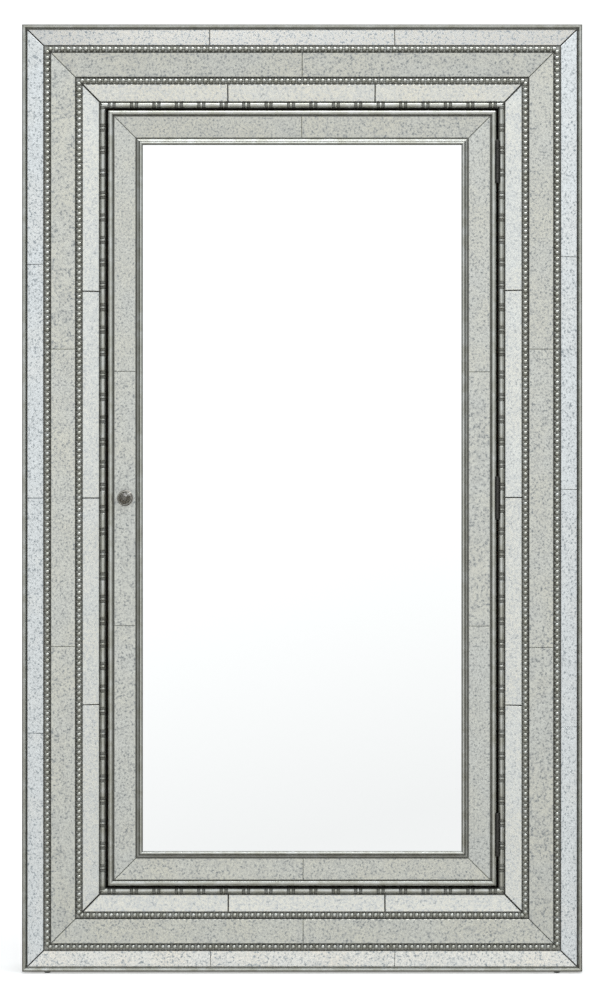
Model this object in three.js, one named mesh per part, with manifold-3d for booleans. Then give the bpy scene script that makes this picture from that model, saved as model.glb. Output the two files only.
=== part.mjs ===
// Floor mirror whose frame is the front of a shallow jewellery cabinet.
// The frame is stepped and faced with bands of antiqued mirror between mouldings, and
// the middle of it is a mirrored door on three butt hinges.
// Millimetres, +Z up. The origin is on the floor under the middle of the bounding box,
// the mirror faces -Y, and the hinges are on the +X side.
import * as THREE from 'three';
import { mergeVertices } from 'three/addons/utils/BufferGeometryUtils.js';
import Module from 'manifold-3d';

const wasm = await Module();
wasm.setup();

// ---- Driving dimensions ----

const FRAME_WIDTH = 1200;
const FRAME_HEIGHT = 2029;
const BODY_DEPTH = 134;      // back of the case to the plane of the frame's outer edge
const KNOB_REACH = 42;       // crest of the knob, proud of that same plane
const GLIDE_SHOW = 3;        // what shows of a glide under the frame
const GAP = 0.3;             // glue line or fit between two pieces that meet
const GLASS = 3;             // thickness of every mirror

// Half widths of the rectangles that the front is divided into, from the outside in.
// A rectangle's half height is its half width plus TALLER.
const EDGE_OUT = FRAME_WIDTH / 2;
const OUTER_BAND_OUT = EDGE_OUT - 11.6;
const OUTER_BEAD_OUT = OUTER_BAND_OUT - 35.8;
const WIDE_BAND_OUT = OUTER_BEAD_OUT - 16.4;
const INNER_BEAD_OUT = WIDE_BAND_OUT - 51.8;
const INNER_BAND_OUT = INNER_BEAD_OUT - 15.5;
const REEL_OUT = INNER_BAND_OUT - 34.6;
const FRAME_IN = REEL_OUT - 14.5;
const DOOR_OUT = FRAME_IN - 4.4;
const DOOR_BAND_OUT = DOOR_OUT - 13.5;
const SIGHT_OUT = DOOR_BAND_OUT - 46;
const MIRROR_OUT = SIGHT_OUT - 14.8;

// Heights of the faces, proud of the plane of the outer edge.
const EDGE_FOOT = -2;        // where the edge moulding's outer face turns into its round
const EDGE_CREST = 4.5;
const OUTER_BAND_LOW = 1;
const OUTER_BAND_HIGH = 13;
const WIDE_BAND_FACE = 18;
const INNER_BAND_HIGH = 15;
const INNER_BAND_LOW = 3;
const BEAD_SEAT = 10;
const BEAD_FILLET = 15.5;
const BEAD_CREST = 20;
const REEL_SEAT = -3.4;
const REEL_CREST = 6;
const DOOR_SEAT = 3;
const DOOR_FACE = DOOR_SEAT + GLASS;
const FRAME_BACK = -16;
const DOOR_BACK = -15.3;

// The case and the cabinet box inside it.
const CASE_INSET = 6;        // the case stands in from the frame's outer edge
const CASE_BOARD = 18;
const BACK_BOARD = 6;
const WALL_BOARD = 16;
const CABINET_HALF = 396;    // clear half width inside the cabinet box
const SHELF_BOARD = 12;
const SHELF_LIP = 28;
const SHELF_SETBACK = 22;    // room in front of the shelves for what hangs on the door
const UPPER_SHELF_Z = 1120;
const LOWER_SHELF_Z = 640;
const GLIDE_X = 546;

// The hinges.
const PIN_PROUD = 8;
const BARREL_RADIUS = 3.6;
const PIN_RADIUS = 1.5;
const HINGE_HEIGHT = 89;
const HINGE_SPACING = 720;
const KNUCKLES = 5;

// The magnetic catch sits above the knob, clear of its screw.
const CATCH_RISE = 110;

// ---- Places worked out from them ----

const TALLER = (FRAME_HEIGHT - FRAME_WIDTH) / 2;
const MIDDLE_Z = GLIDE_SHOW + FRAME_HEIGHT / 2;
const BACK_Y = (BODY_DEPTH + KNOB_REACH) / 2;
const EDGE_Y = BACK_Y - BODY_DEPTH;
const CASE_FRONT_Y = EDGE_Y - FRAME_BACK + GAP;
const CASE_BACK_Y = BACK_Y - BACK_BOARD - GAP;
const DOOR_BACK_Y = EDGE_Y - DOOR_BACK;
const SHELF_FRONT_Y = CASE_FRONT_Y + SHELF_SETBACK;
const PIN_X = (DOOR_OUT + FRAME_IN) / 2;
const PIN_Y = EDGE_Y - PIN_PROUD;
const KNOB_X = -(DOOR_BAND_OUT + SIGHT_OUT) / 2;

// ---- Finishes ----

const finish = (color, roughness, metalness) => () =>
  new THREE.MeshStandardMaterial({ color, roughness, metalness });
const PEWTER = finish('#a5a394', 0.38, 0.85);
const ANTIQUE_MIRROR = finish('#c4c7c2', 0.2, 0.7);
const CLEAR_MIRROR = finish('#f4f6f7', 0.03, 1);
const DARK_BRONZE = finish('#3a3836', 0.45, 0.8);
const CRYSTAL = finish('#8f9296', 0.08, 0.1);
const POLISHED_NICKEL = finish('#b9bab8', 0.18, 1);
const PAINTED_WOOD = finish('#8d8b7f', 0.55, 0.1);
const SUBSTRATE = finish('#6f6a5c', 0.8, 0);
const VELVET = finish('#2c2e35', 0.95, 0);
const BACKING = finish('#5b4a38', 0.85, 0);
const STEEL = finish('#a9abad', 0.35, 1);
const GLIDE = finish('#2a2a29', 0.7, 0);

// ---- Building blocks ----

const group = new THREE.Group();

function add(name, geometry, material, position = [0, 0, 0], rotation = [0, 0, 0]) {
  const mesh = new THREE.Mesh(geometry, material());
  mesh.name = name;
  mesh.position.set(...position);
  mesh.rotation.set(...rotation);
  group.add(mesh);
}

// A box between two corners.
function box([x0, y0, z0], [x1, y1, z1]) {
  const geometry = new THREE.BoxGeometry(x1 - x0, y1 - y0, z1 - z0);
  return geometry.translate((x0 + x1) / 2, (y0 + y1) / 2, (z0 + z1) / 2);
}

// A solid for cutting and joining, from a closed geometry.
function solid(geometry) {
  const bare = geometry.clone();
  bare.deleteAttribute('normal');
  bare.deleteAttribute('uv');
  const merged = mergeVertices(bare, 1e-4);
  return new wasm.Manifold(new wasm.Mesh({
    numProp: 3,
    vertProperties: new Float32Array(merged.attributes.position.array),
    triVerts: new Uint32Array(merged.index.array),
  }));
}

function geometryOf(manifold) {
  const mesh = manifold.getMesh();
  const geometry = new THREE.BufferGeometry();
  geometry.setAttribute('position', new THREE.BufferAttribute(mesh.vertProperties, 3));
  geometry.setIndex(new THREE.BufferAttribute(mesh.triVerts, 1));
  return geometry;
}

const join = (first, ...rest) =>
  geometryOf(rest.reduce((whole, piece) => whole.add(solid(piece)), solid(first)));
const cut = (body, tool) => geometryOf(solid(body).subtract(solid(tool)));

// A turned shape. The profile is [radius, height] pairs and closes on itself or on the axis.
function turned(profile, segments) {
  return new THREE.LatheGeometry(profile.map((point) => new THREE.Vector2(...point)), segments);
}

// A tube standing on Z.
function tube(outer, inner, height, segments) {
  const half = height / 2;
  const section = [[inner, -half], [outer, -half], [outer, half], [inner, half], [inner, -half]];
  return turned(section, segments).rotateX(Math.PI / 2);
}

// An outline extruded along X: the outline is [y, z] pairs.
function alongX(outline, length) {
  const shape = new THREE.Shape(outline.map((point) => new THREE.Vector2(...point)));
  const geometry = new THREE.ExtrudeGeometry(shape, { depth: length, bevelEnabled: false });
  geometry.translate(0, 0, -length / 2);
  return geometry.rotateX(Math.PI / 2).rotateZ(Math.PI / 2);
}

// Half of an ellipse in the section of a moulding, from its outer foot to its inner foot.
function crown(outer, inner, foot, crest, steps = 8) {
  const centre = (outer + inner) / 2;
  const half = (outer - inner) / 2;
  return Array.from({ length: steps + 1 }, (_, i) => {
    const angle = (Math.PI * i) / steps;
    return [centre + half * Math.cos(angle), foot + (crest - foot) * Math.sin(angle)];
  });
}

// The four sides of a mitred rectangle, each turned from the right-hand one.
const SIDES = [
  { side: 'right', turn: 0, rise: 0, straight: TALLER },
  { side: 'top', turn: -Math.PI / 2, rise: TALLER, straight: 0 },
  { side: 'left', turn: Math.PI, rise: 0, straight: TALLER },
  { side: 'bottom', turn: Math.PI / 2, rise: -TALLER, straight: 0 },
];

// One mitred length: a section of [half width, proud] points, cut at 45 degrees at both ends.
function mitredLength(section, straight) {
  const shape = new THREE.Shape(section.map((point) => new THREE.Vector2(...point)));
  const geometry = new THREE.ExtrudeGeometry(shape, { depth: 2, bevelEnabled: false });
  const position = geometry.attributes.position;
  for (let i = 0; i < position.count; i += 1) {
    const halfWidth = position.getX(i);
    const end = position.getZ(i) - 1;
    const halfLength = halfWidth + straight - GAP;
    position.setXYZ(i, halfWidth, -position.getY(i), -end * halfLength);
  }
  return geometry;
}

function addMitred(nameOf, section, material, change = (geometry) => geometry) {
  for (const { side, turn, rise, straight } of SIDES) {
    const geometry = change(mitredLength(section, straight), side);
    add(nameOf(side), geometry, material, [0, EDGE_Y, MIDDLE_Z + rise], [0, turn, 0]);
  }
}

// A moulding that runs all the way round: the section is turned in four steps, which
// gives a square ring with mitred corners, and its corners are then drawn out to the
// rectangle's height.
function addRing(name, section, material) {
  const corners = [...section, section[0]].map(([halfWidth, proud]) =>
    new THREE.Vector2(halfWidth * Math.SQRT2, proud));
  const geometry = new THREE.LatheGeometry(corners, 4, Math.PI / 4);
  const position = geometry.attributes.position;
  for (let i = 0; i < position.count; i += 1) {
    const x = position.getX(i);
    const z = position.getZ(i);
    position.setXYZ(i, x, -position.getY(i), -(z + Math.sign(z) * TALLER));
  }
  add(name, geometry, material, [0, EDGE_Y, MIDDLE_Z]);
}

// ---- Case ----

function addCase() {
  const half = EDGE_OUT - CASE_INSET;
  const bottom = MIDDLE_Z - TALLER - half;
  const top = MIDDLE_Z + TALLER + half;
  const inside = half - CASE_BOARD;
  for (const [side, sign] of [['left', -1], ['right', 1]]) {
    const [x0, x1] = [sign * inside, sign * half].sort((a, b) => a - b);
    const board = box([x0, CASE_FRONT_Y, bottom], [x1, CASE_BACK_Y, top]);
    add(`case_side_${side}`, board, PAINTED_WOOD);
  }
  const span = inside - GAP;
  const boards = [['bottom', bottom, bottom + CASE_BOARD], ['top', top - CASE_BOARD, top]];
  for (const [name, z0, z1] of boards) {
    add(`case_${name}`, box([-span, CASE_FRONT_Y, z0], [span, CASE_BACK_Y, z1]), PAINTED_WOOD);
  }
  add('back_panel', box([-half, BACK_Y - BACK_BOARD, bottom], [half, BACK_Y, top]), BACKING);
  return bottom;
}

function addCabinetBox() {
  const outer = CABINET_HALF + WALL_BOARD;
  const low = MIDDLE_Z - TALLER - CABINET_HALF;
  const high = MIDDLE_Z + TALLER + CABINET_HALF;
  for (const [side, sign] of [['left', -1], ['right', 1]]) {
    const [x0, x1] = [sign * CABINET_HALF, sign * outer].sort((a, b) => a - b);
    const wall = box([x0, CASE_FRONT_Y, low - WALL_BOARD], [x1, CASE_BACK_Y, high + WALL_BOARD]);
    add(`cabinet_wall_${side}`, wall, PAINTED_WOOD);
  }
  const span = CABINET_HALF - GAP;
  const boards = [['floor', low - WALL_BOARD, low], ['ceiling', high, high + WALL_BOARD]];
  for (const [name, z0, z1] of boards) {
    add(`cabinet_${name}`, box([-span, CASE_FRONT_Y, z0], [span, CASE_BACK_Y, z1]), PAINTED_WOOD);
  }
}

// Four glides. The door and the frame are the heavy side, so the front two are under the
// frame's edge, as far forward as there is a flat to nail them to, and the back two are
// under the case.
function addGlides(caseBottom) {
  const chamfer = 1;
  const frontY = EDGE_Y - (EDGE_FOOT + FRAME_BACK) / 2;
  const pairs = [
    ['front', frontY, (EDGE_FOOT - FRAME_BACK) / 2, GLIDE_SHOW - GAP],
    ['back', CASE_BACK_Y - 14, 8.5, caseBottom - GAP],
  ];
  for (const [end, y, radius, height] of pairs) {
    const profile = [
      [0, 0], [radius - chamfer, 0], [radius, chamfer], [radius, height], [0, height],
    ];
    for (const [side, x] of [['left', -GLIDE_X], ['right', GLIDE_X]]) {
      const glide = turned(profile, 24).rotateX(Math.PI / 2);
      add(`glide_${end}_${side}`, glide, GLIDE, [x, y, 0]);
    }
  }
}

// ---- Frame ----

// The stepped section that the bands and mouldings are glued to.
function addFrameSubstrate() {
  const under = (face) => face - GLASS - GAP;
  const beadSeat = BEAD_SEAT - GAP;
  const reelSeat = REEL_SEAT - GAP;
  const section = [
    [OUTER_BAND_OUT, FRAME_BACK],
    [OUTER_BAND_OUT, under(OUTER_BAND_LOW)],
    [OUTER_BEAD_OUT + GAP, under(OUTER_BAND_HIGH)],
    [WIDE_BAND_OUT, beadSeat],
    [WIDE_BAND_OUT, under(WIDE_BAND_FACE)],
    [INNER_BEAD_OUT + GAP, under(WIDE_BAND_FACE)],
    [INNER_BEAD_OUT + GAP, beadSeat],
    [INNER_BAND_OUT, beadSeat],
    [INNER_BAND_OUT, under(INNER_BAND_HIGH)],
    [REEL_OUT + GAP, under(INNER_BAND_LOW)],
    [REEL_OUT + GAP, reelSeat],
    [FRAME_IN + GAP, reelSeat],
    [FRAME_IN + GAP, FRAME_BACK],
  ];
  const upright = (side) => side === 'left' || side === 'right';
  addMitred((side) => `frame_${upright(side) ? 'stile' : 'rail'}_${side}`, section, SUBSTRATE);
}

// The section of one mirror band: a strip of glass from its outer edge to its inner edge.
const bandSection = (outer, inner, outerFace, innerFace) => [
  [outer, outerFace - GLASS],
  [outer, outerFace],
  [inner + GAP, innerFace],
  [inner + GAP, innerFace - GLASS],
];

function addFrameBands() {
  const bands = [
    ['outer', bandSection(OUTER_BAND_OUT, OUTER_BEAD_OUT, OUTER_BAND_LOW, OUTER_BAND_HIGH)],
    ['wide', bandSection(WIDE_BAND_OUT, INNER_BEAD_OUT, WIDE_BAND_FACE, WIDE_BAND_FACE)],
    ['inner', bandSection(INNER_BAND_OUT, REEL_OUT, INNER_BAND_HIGH, INNER_BAND_LOW)],
  ];
  for (const [name, section] of bands) {
    addMitred((side) => `${name}_mirror_${side}`, section, ANTIQUE_MIRROR);
  }
}

// A bead moulding's section: a flat fillet on each side of the round that carries the beads.
function beadSection(outer, inner) {
  const fillet = 2.8;
  const inside = inner + GAP;
  return [
    [inside, BEAD_SEAT],
    [outer, BEAD_SEAT],
    [outer, BEAD_FILLET],
    ...crown(outer - fillet, inside + fillet, BEAD_FILLET, BEAD_CREST),
    [inside, BEAD_FILLET],
  ];
}

function addFrameMouldings() {
  const edgeIn = OUTER_BAND_OUT + GAP;
  const edge = [
    [edgeIn, FRAME_BACK],
    [EDGE_OUT, FRAME_BACK],
    ...crown(EDGE_OUT, edgeIn, EDGE_FOOT, EDGE_CREST),
  ];
  addRing('edge_moulding', edge, PEWTER);
  addRing('outer_bead_moulding', beadSection(OUTER_BEAD_OUT, WIDE_BAND_OUT), PEWTER);
  addRing('inner_bead_moulding', beadSection(INNER_BEAD_OUT, INNER_BAND_OUT), PEWTER);
  const reelIn = FRAME_IN + GAP;
  const reel = [
    [reelIn, REEL_SEAT],
    [REEL_OUT, REEL_SEAT],
    ...crown(REEL_OUT, reelIn, -1, REEL_CREST),
  ];
  addRing('bead_and_reel_moulding', reel, PEWTER);
}

// ---- Door ----

function rectangle(half, lowProud, highProud) {
  const height = half + TALLER;
  return box(
    [-half, EDGE_Y - highProud, MIDDLE_Z - height],
    [half, EDGE_Y - lowProud, MIDDLE_Z + height],
  );
}

// A hole through the door for the knob's screw.
function knobHole() {
  const drill = new THREE.CylinderGeometry(2.6, 2.6, 60, 20);
  return drill.translate(KNOB_X, EDGE_Y, MIDDLE_Z);
}

function addDoor() {
  const panel = rectangle(DOOR_OUT, DOOR_BACK, DOOR_SEAT - GAP);
  add('door_panel', cut(panel, knobHole()), PAINTED_WOOD);

  // Cushion on the outer edge, with a low step beside the mirror band.
  const step = 3.6;
  const edgeIn = DOOR_BAND_OUT + GAP;
  addRing('door_edge_moulding', [
    [edgeIn, DOOR_SEAT],
    [DOOR_OUT, DOOR_SEAT],
    ...crown(DOOR_OUT, edgeIn + step, DOOR_SEAT + 0.4, DOOR_FACE + 2.4),
    [edgeIn + step, DOOR_FACE + 0.8],
    [edgeIn, DOOR_FACE + 0.8],
  ], PEWTER);

  const band = bandSection(DOOR_BAND_OUT, SIGHT_OUT, DOOR_FACE, DOOR_FACE);
  const localHole = (geometry, side) => {
    if (side !== 'left') return geometry;
    return cut(geometry, knobHole().translate(0, -EDGE_Y, -MIDDLE_Z).rotateY(Math.PI));
  };
  addMitred((side) => `door_mirror_${side}`, band, ANTIQUE_MIRROR, localHole);

  // The same cushion turned round: its step is beside the band, its round is at the mirror.
  const sightIn = MIRROR_OUT + GAP;
  addRing('door_sight_moulding', [
    [sightIn, DOOR_SEAT],
    [SIGHT_OUT, DOOR_SEAT],
    [SIGHT_OUT, DOOR_FACE + 0.8],
    [SIGHT_OUT - step, DOOR_FACE + 0.8],
    ...crown(SIGHT_OUT - step, sightIn, DOOR_SEAT + 1, DOOR_FACE + 3.4),
  ], PEWTER);

  add('centre_mirror', rectangle(MIRROR_OUT, DOOR_SEAT, DOOR_FACE), CLEAR_MIRROR);
}

// The knob points to -Y: each profile is turned about its own axis, heights from the door's face.
function addKnob() {
  const place = [KNOB_X, EDGE_Y - DOOR_FACE - GAP, MIDDLE_Z];
  const forward = [Math.PI, 0, 0];
  const bore = 2.3;
  const base = [
    [bore, 0], [17, 0], [17, 1.6], [15.5, 3], [8.5, 3.4], [6.5, 5.5], [6.5, 9.5],
    [8.5, 11], [8.5, 12.2], [bore, 12.2], [bore, 0],
  ];
  add('knob_base', turned(base, 32), POLISHED_NICKEL, place, forward);
  const crest = KNOB_REACH - DOOR_FACE - GAP;
  const crystal = [
    [0, 12.5], [7, 12.5], [13, 17.5], [15, 22], [14.2, 27], [10.5, 32], [5.5, crest], [0, crest],
  ];
  add('knob_crystal', turned(crystal, 12), CRYSTAL, place, forward);

  // The screw comes through the door from behind and ends inside the base.
  const shank = 2;
  const head = 4.2;
  const end = 11.5;
  const panelBack = DOOR_BACK - DOOR_FACE - GAP;
  const screw = [
    [0, panelBack - 2.6], [head - 1, panelBack - 2.6], [head, panelBack - 1.6],
    [head, panelBack - GAP], [shank, panelBack - GAP], [shank, end], [0, end],
  ];
  add('knob_screw', turned(screw, 16), STEEL, place, forward);
}

// ---- Hinges ----

// One leaf of a butt hinge, with the pin line on Z: a plate that runs back from the barrel,
// and the knuckles that belong to it.
function hingeLeaf(side, ownKnuckles) {
  const [x0, x1] = side < 0 ? [DOOR_OUT + GAP - PIN_X, -0.2] : [0.2, FRAME_IN - GAP - PIN_X];
  const clear = BARREL_RADIUS + GAP;
  const depth = PIN_PROUD - FRAME_BACK - 2.5;
  const pitch = HINGE_HEIGHT / KNUCKLES;
  const plate = box([x0, clear, -HINGE_HEIGHT / 2], [x1, depth, HINGE_HEIGHT / 2]);
  const knuckles = ownKnuckles.flatMap((index) => {
    const middle = (index + 0.5) * pitch - HINGE_HEIGHT / 2;
    const half = (pitch - GAP) / 2;
    return [
      tube(BARREL_RADIUS, PIN_RADIUS + 0.25, 2 * half, 20).translate(0, 0, middle),
      box([x0, BARREL_RADIUS - 1.2, middle - half], [x1, clear + 1, middle + half]),
    ];
  });
  return join(plate, ...knuckles);
}

function hingePin() {
  const half = HINGE_HEIGHT / 2;
  const head = BARREL_RADIUS - 0.4;
  const cap = half + GAP;
  const profile = [
    [0, -cap - 1.8], [head - 1.2, -cap - 1.8], [head, -cap - 0.9], [head, -cap],
    [PIN_RADIUS, -cap], [PIN_RADIUS, cap],
    [head, cap], [head, cap + 0.9], [head - 1.2, cap + 1.8], [0, cap + 1.8],
  ];
  return turned(profile, 20).rotateX(Math.PI / 2);
}

function addHinges() {
  const offsets = { bottom: -HINGE_SPACING, middle: 0, top: HINGE_SPACING };
  for (const [name, offset] of Object.entries(offsets)) {
    const place = [PIN_X, PIN_Y, MIDDLE_Z + offset];
    add(`hinge_${name}_frame_leaf`, hingeLeaf(1, [0, 2, 4]), DARK_BRONZE, place);
    add(`hinge_${name}_door_leaf`, hingeLeaf(-1, [1, 3]), DARK_BRONZE, place);
    add(`hinge_${name}_pin`, hingePin(), DARK_BRONZE, place);
  }
}

// ---- Catch ----

function addCatch() {
  const plate = 1.2;
  const x0 = -CABINET_HALF + GAP;
  const plateFront = DOOR_BACK_Y + GAP;
  const plateBack = plateFront + plate;
  const height = 46;
  const low = MIDDLE_Z + CATCH_RISE - height / 2;
  const strike = box([x0 + 1, plateFront, low + 5], [x0 + 14, plateBack, low + height - 5]);
  add('catch_strike', strike, STEEL);
  const magnet = box([x0, plateBack + GAP, low], [x0 + 15, plateBack + 14, low + height]);
  add('magnet_catch', magnet, DARK_BRONZE);
}

// ---- Cabinet fittings ----

function addShelves() {
  const front = SHELF_FRONT_Y;
  const outline = [
    [front, 0], [CASE_BACK_Y, 0], [CASE_BACK_Y, SHELF_BOARD],
    [front + 8, SHELF_BOARD], [front + 8, SHELF_LIP], [front, SHELF_LIP],
  ];
  const length = 2 * (CABINET_HALF - GAP);
  for (const [name, z] of [['upper', UPPER_SHELF_Z], ['lower', LOWER_SHELF_Z]]) {
    add(`shelf_${name}`, alongX(outline, length), PAINTED_WOOD, [0, 0, z]);
  }
}

// A rail under the cabinet's ceiling with a row of pegs that necklaces hang from.
function addNecklaceRail() {
  const railZ = MIDDLE_Z + TALLER + CABINET_HALF - 70;
  const back = CASE_BACK_Y;
  const front = back - 10;
  const length = 720;
  const pegs = 15;
  const pitch = 46;
  const profile = [[0, -1], [2.2, -1], [2.2, 24], [4.2, 26], [4.2, 29], [2.4, 31], [0, 31]];
  const row = Array.from({ length: pegs }, (_, i) => {
    const peg = turned(profile, 10).rotateX(Math.PI);
    return peg.translate((i - (pegs - 1) / 2) * pitch, front, railZ);
  });
  const rail = box([-length / 2, front, railZ - 16], [length / 2, back, railZ + 16]);
  add('necklace_rail', join(rail, ...row), POLISHED_NICKEL);
}

// Rows of soft rolls in a low block: rings stand in the grooves between them.
function addRingHolder() {
  const back = CASE_BACK_Y - GAP;
  const front = SHELF_FRONT_Y + 8 + GAP;
  const length = 520;
  const rolls = 5;
  const pitch = (back - front) / rolls;
  const valley = 12;
  const crest = 22;
  const tops = Array.from({ length: rolls }, (_, i) => {
    const roll = crown(back - i * pitch, back - (i + 1) * pitch, valley, crest, 6);
    return i === 0 ? roll : roll.slice(1);
  });
  const outline = [[front, 0], [back, 0], ...tops.flat()];
  add('ring_holder', alongX(outline, length), VELVET, [0, 0, UPPER_SHELF_Z + SHELF_BOARD + GAP]);
}

// Two uprights on the back of the door with rods between them for earrings.
function addEarringRack() {
  const front = DOOR_BACK_Y + GAP;
  const depth = 13;
  const half = 240;
  const [low, high] = [1230, 1560];
  const rods = 6;
  const uprights = [-half, half].map((x) => box([x - 9, front, low], [x + 9, front + depth, high]));
  const bars = Array.from({ length: rods }, (_, i) => {
    const rod = new THREE.CylinderGeometry(2, 2, 2 * half, 10).rotateZ(Math.PI / 2);
    return rod.translate(0, front + 8, low + 30 + (i * (high - low - 60)) / (rods - 1));
  });
  add('earring_rack', join(uprights[0], uprights[1], ...bars), POLISHED_NICKEL);
}

const caseBottom = addCase();
addCabinetBox();
addGlides(caseBottom);
addFrameSubstrate();
addFrameBands();
addFrameMouldings();
addDoor();
addKnob();
addHinges();
addCatch();
addShelves();
addNecklaceRail();
addRingHolder();
addEarringRack();

export default group;
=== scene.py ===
"""Floor mirror with a jewellery cabinet behind its hinged, mirrored door.

Laid out as a Blender add-on: the sizes and colours are scene properties, each group of
pieces has its own operator, and a panel in the 3D view's sidebar lists them.
"""

import math
import random

import bmesh
import bpy
import numpy as np
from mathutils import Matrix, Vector


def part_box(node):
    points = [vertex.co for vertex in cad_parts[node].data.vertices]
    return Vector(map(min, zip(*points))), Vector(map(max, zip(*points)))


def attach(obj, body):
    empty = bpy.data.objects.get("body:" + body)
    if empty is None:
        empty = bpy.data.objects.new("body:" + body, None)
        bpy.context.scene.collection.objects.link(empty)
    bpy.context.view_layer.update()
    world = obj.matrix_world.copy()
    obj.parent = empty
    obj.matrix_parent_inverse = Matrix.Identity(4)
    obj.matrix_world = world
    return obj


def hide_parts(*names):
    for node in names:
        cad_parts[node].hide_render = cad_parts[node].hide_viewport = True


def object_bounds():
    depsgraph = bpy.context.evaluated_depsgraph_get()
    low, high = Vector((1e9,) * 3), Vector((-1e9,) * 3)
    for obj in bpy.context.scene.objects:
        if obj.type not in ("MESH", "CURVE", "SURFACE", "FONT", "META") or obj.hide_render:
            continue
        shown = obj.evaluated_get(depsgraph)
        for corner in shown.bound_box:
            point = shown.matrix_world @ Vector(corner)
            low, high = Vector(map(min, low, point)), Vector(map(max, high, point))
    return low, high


bl_info = {
    "name": "Floor Mirror Cabinet",
    "version": (1, 0, 0),
    "blender": (4, 5, 0),
    "location": "View3D > Sidebar > Floor Mirror",
    "description": "Builds the finish pieces of a mirrored floor mirror with a cabinet",
    "category": "Object",
}

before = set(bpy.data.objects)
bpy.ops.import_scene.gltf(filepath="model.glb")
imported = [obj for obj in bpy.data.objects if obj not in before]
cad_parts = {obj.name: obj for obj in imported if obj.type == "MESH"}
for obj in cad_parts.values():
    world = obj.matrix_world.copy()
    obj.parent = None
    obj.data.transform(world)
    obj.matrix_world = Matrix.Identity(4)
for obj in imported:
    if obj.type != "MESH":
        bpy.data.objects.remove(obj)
CAD_BOX = [list(corner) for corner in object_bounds()]

MM = 0.001
CABINET = "cabinet"
DOOR = "door"

# The frame's rectangle, from its outermost moulding.
EDGE_LOW, EDGE_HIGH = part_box("edge_moulding")
MIDDLE_Z = (EDGE_LOW.z + EDGE_HIGH.z) / 2
TALLER = ((EDGE_HIGH.z - EDGE_LOW.z) - (EDGE_HIGH.x - EDGE_LOW.x)) / 2
BACK_Y = CAD_BOX[1][1]

# The direction from the middle of the frame to the middle of each side, in X and Z.
SIDES = {"right": (1, 0), "top": (0, 1), "left": (-1, 0), "bottom": (0, -1)}

# Where the tiles of each band meet, in millimetres from the middle of the side, along +X or
# +Z. They are laid by hand, so few joints are exactly where the pattern wants them.
JOINTS = {
    "outer": {
        "left": (-503, 0, 500), "right": (-490, 18, 516), "top": (-198, 198), "bottom": (-196, 198),
    },
    "wide": {"left": (-317, 318), "right": (-319, 318), "top": (0,), "bottom": (2,)},
    "inner": {"left": (-442, 0, 442), "right": (-443, 1, 444), "top": (-159, 156), "bottom": (-158, 177)},
    "door": {"left": (-273, 271), "right": (-274, 270), "top": (-1,), "bottom": (2,)},
}

# How bright each side's sheets are made, and how warm. The brightness is partly painted light: a side
# that reflects more light is made darker and one that reflects less is made lighter, besides the little
# by which no two sheets are alike.
SHEETS = {
    "outer": {"right": (0.99, 0.0), "top": (0.59, 1.1), "left": (1.04, 0.0), "bottom": (1.13, 0.7)},
    "wide": {"right": (0.98, 0.6), "top": (0.87, 0.7), "left": (1.0, 0.6), "bottom": (1.07, 0.7)},
    "inner": {"right": (0.97, 0.5), "top": (1.06, 0.8), "left": (0.92, 0.5), "bottom": (0.78, 1.2)},
    "door": {"right": (0.98, 0.5), "top": (0.89, 0.8), "left": (0.98, 0.5), "bottom": (1.02, 0.8)},
}


def linear(hexcode):
    """An sRGB hex value as the linear colour that Blender's sockets take."""
    channels = [int(hexcode[i : i + 2], 16) / 255 for i in (1, 3, 5)]
    return [c / 12.92 if c <= 0.04045 else ((c + 0.055) / 1.055) ** 2.4 for c in channels] + [1.0]


def length(name, description, default):
    """A size that a user would change, in metres."""
    return bpy.props.FloatProperty(
        name=name, description=description, default=default, min=0.0, subtype="DISTANCE", unit="LENGTH"
    )


def colour(name, description, default):
    """A colour that a user would change, from its sRGB hex value."""
    return bpy.props.FloatVectorProperty(
        name=name, description=description, default=linear(default), size=4, min=0.0, max=1.0,
        subtype="COLOR",
    )


class FloorMirrorSizes(bpy.types.PropertyGroup):
    """Sizes of the finish pieces."""

    arris: length("Glass arris", "Width of the polished edge round each antiqued tile", 0.9 * MM)
    outer_joint: length("Outer band joint", "Gap between tiles of the outer band", 1.0 * MM)
    outer_mitre: length("Outer band mitre", "Gap at the mitres of the outer band", 2.4 * MM)
    wide_joint: length("Wide band joint", "Gap between tiles of the wide band", 0.7 * MM)
    wide_mitre: length("Wide band mitre", "Gap at the mitres of the wide band", 1.1 * MM)
    inner_joint: length("Inner band joint", "Gap between tiles of the inner band", 2.4 * MM)
    inner_mitre: length("Inner band mitre", "Gap at the mitres of the inner band", 3.0 * MM)
    door_joint: length("Door band joint", "Gap between tiles of the door band", 0.6 * MM)
    door_mitre: length("Door band mitre", "Gap at the mitres of the door band", 0.9 * MM)
    pearl: length("Pearl", "Diameter of a pearl of the bead mouldings", 11.7 * MM)
    pearl_pitch: length("Pearl pitch", "Distance from pearl to pearl", 12.6 * MM)
    reel_pitch: length("Reel pitch", "Distance from one reel to the next", 48.0 * MM)
    board_edge: length("Board edge", "Rounding on the edges of the case's boards", 1.2 * MM)


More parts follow.
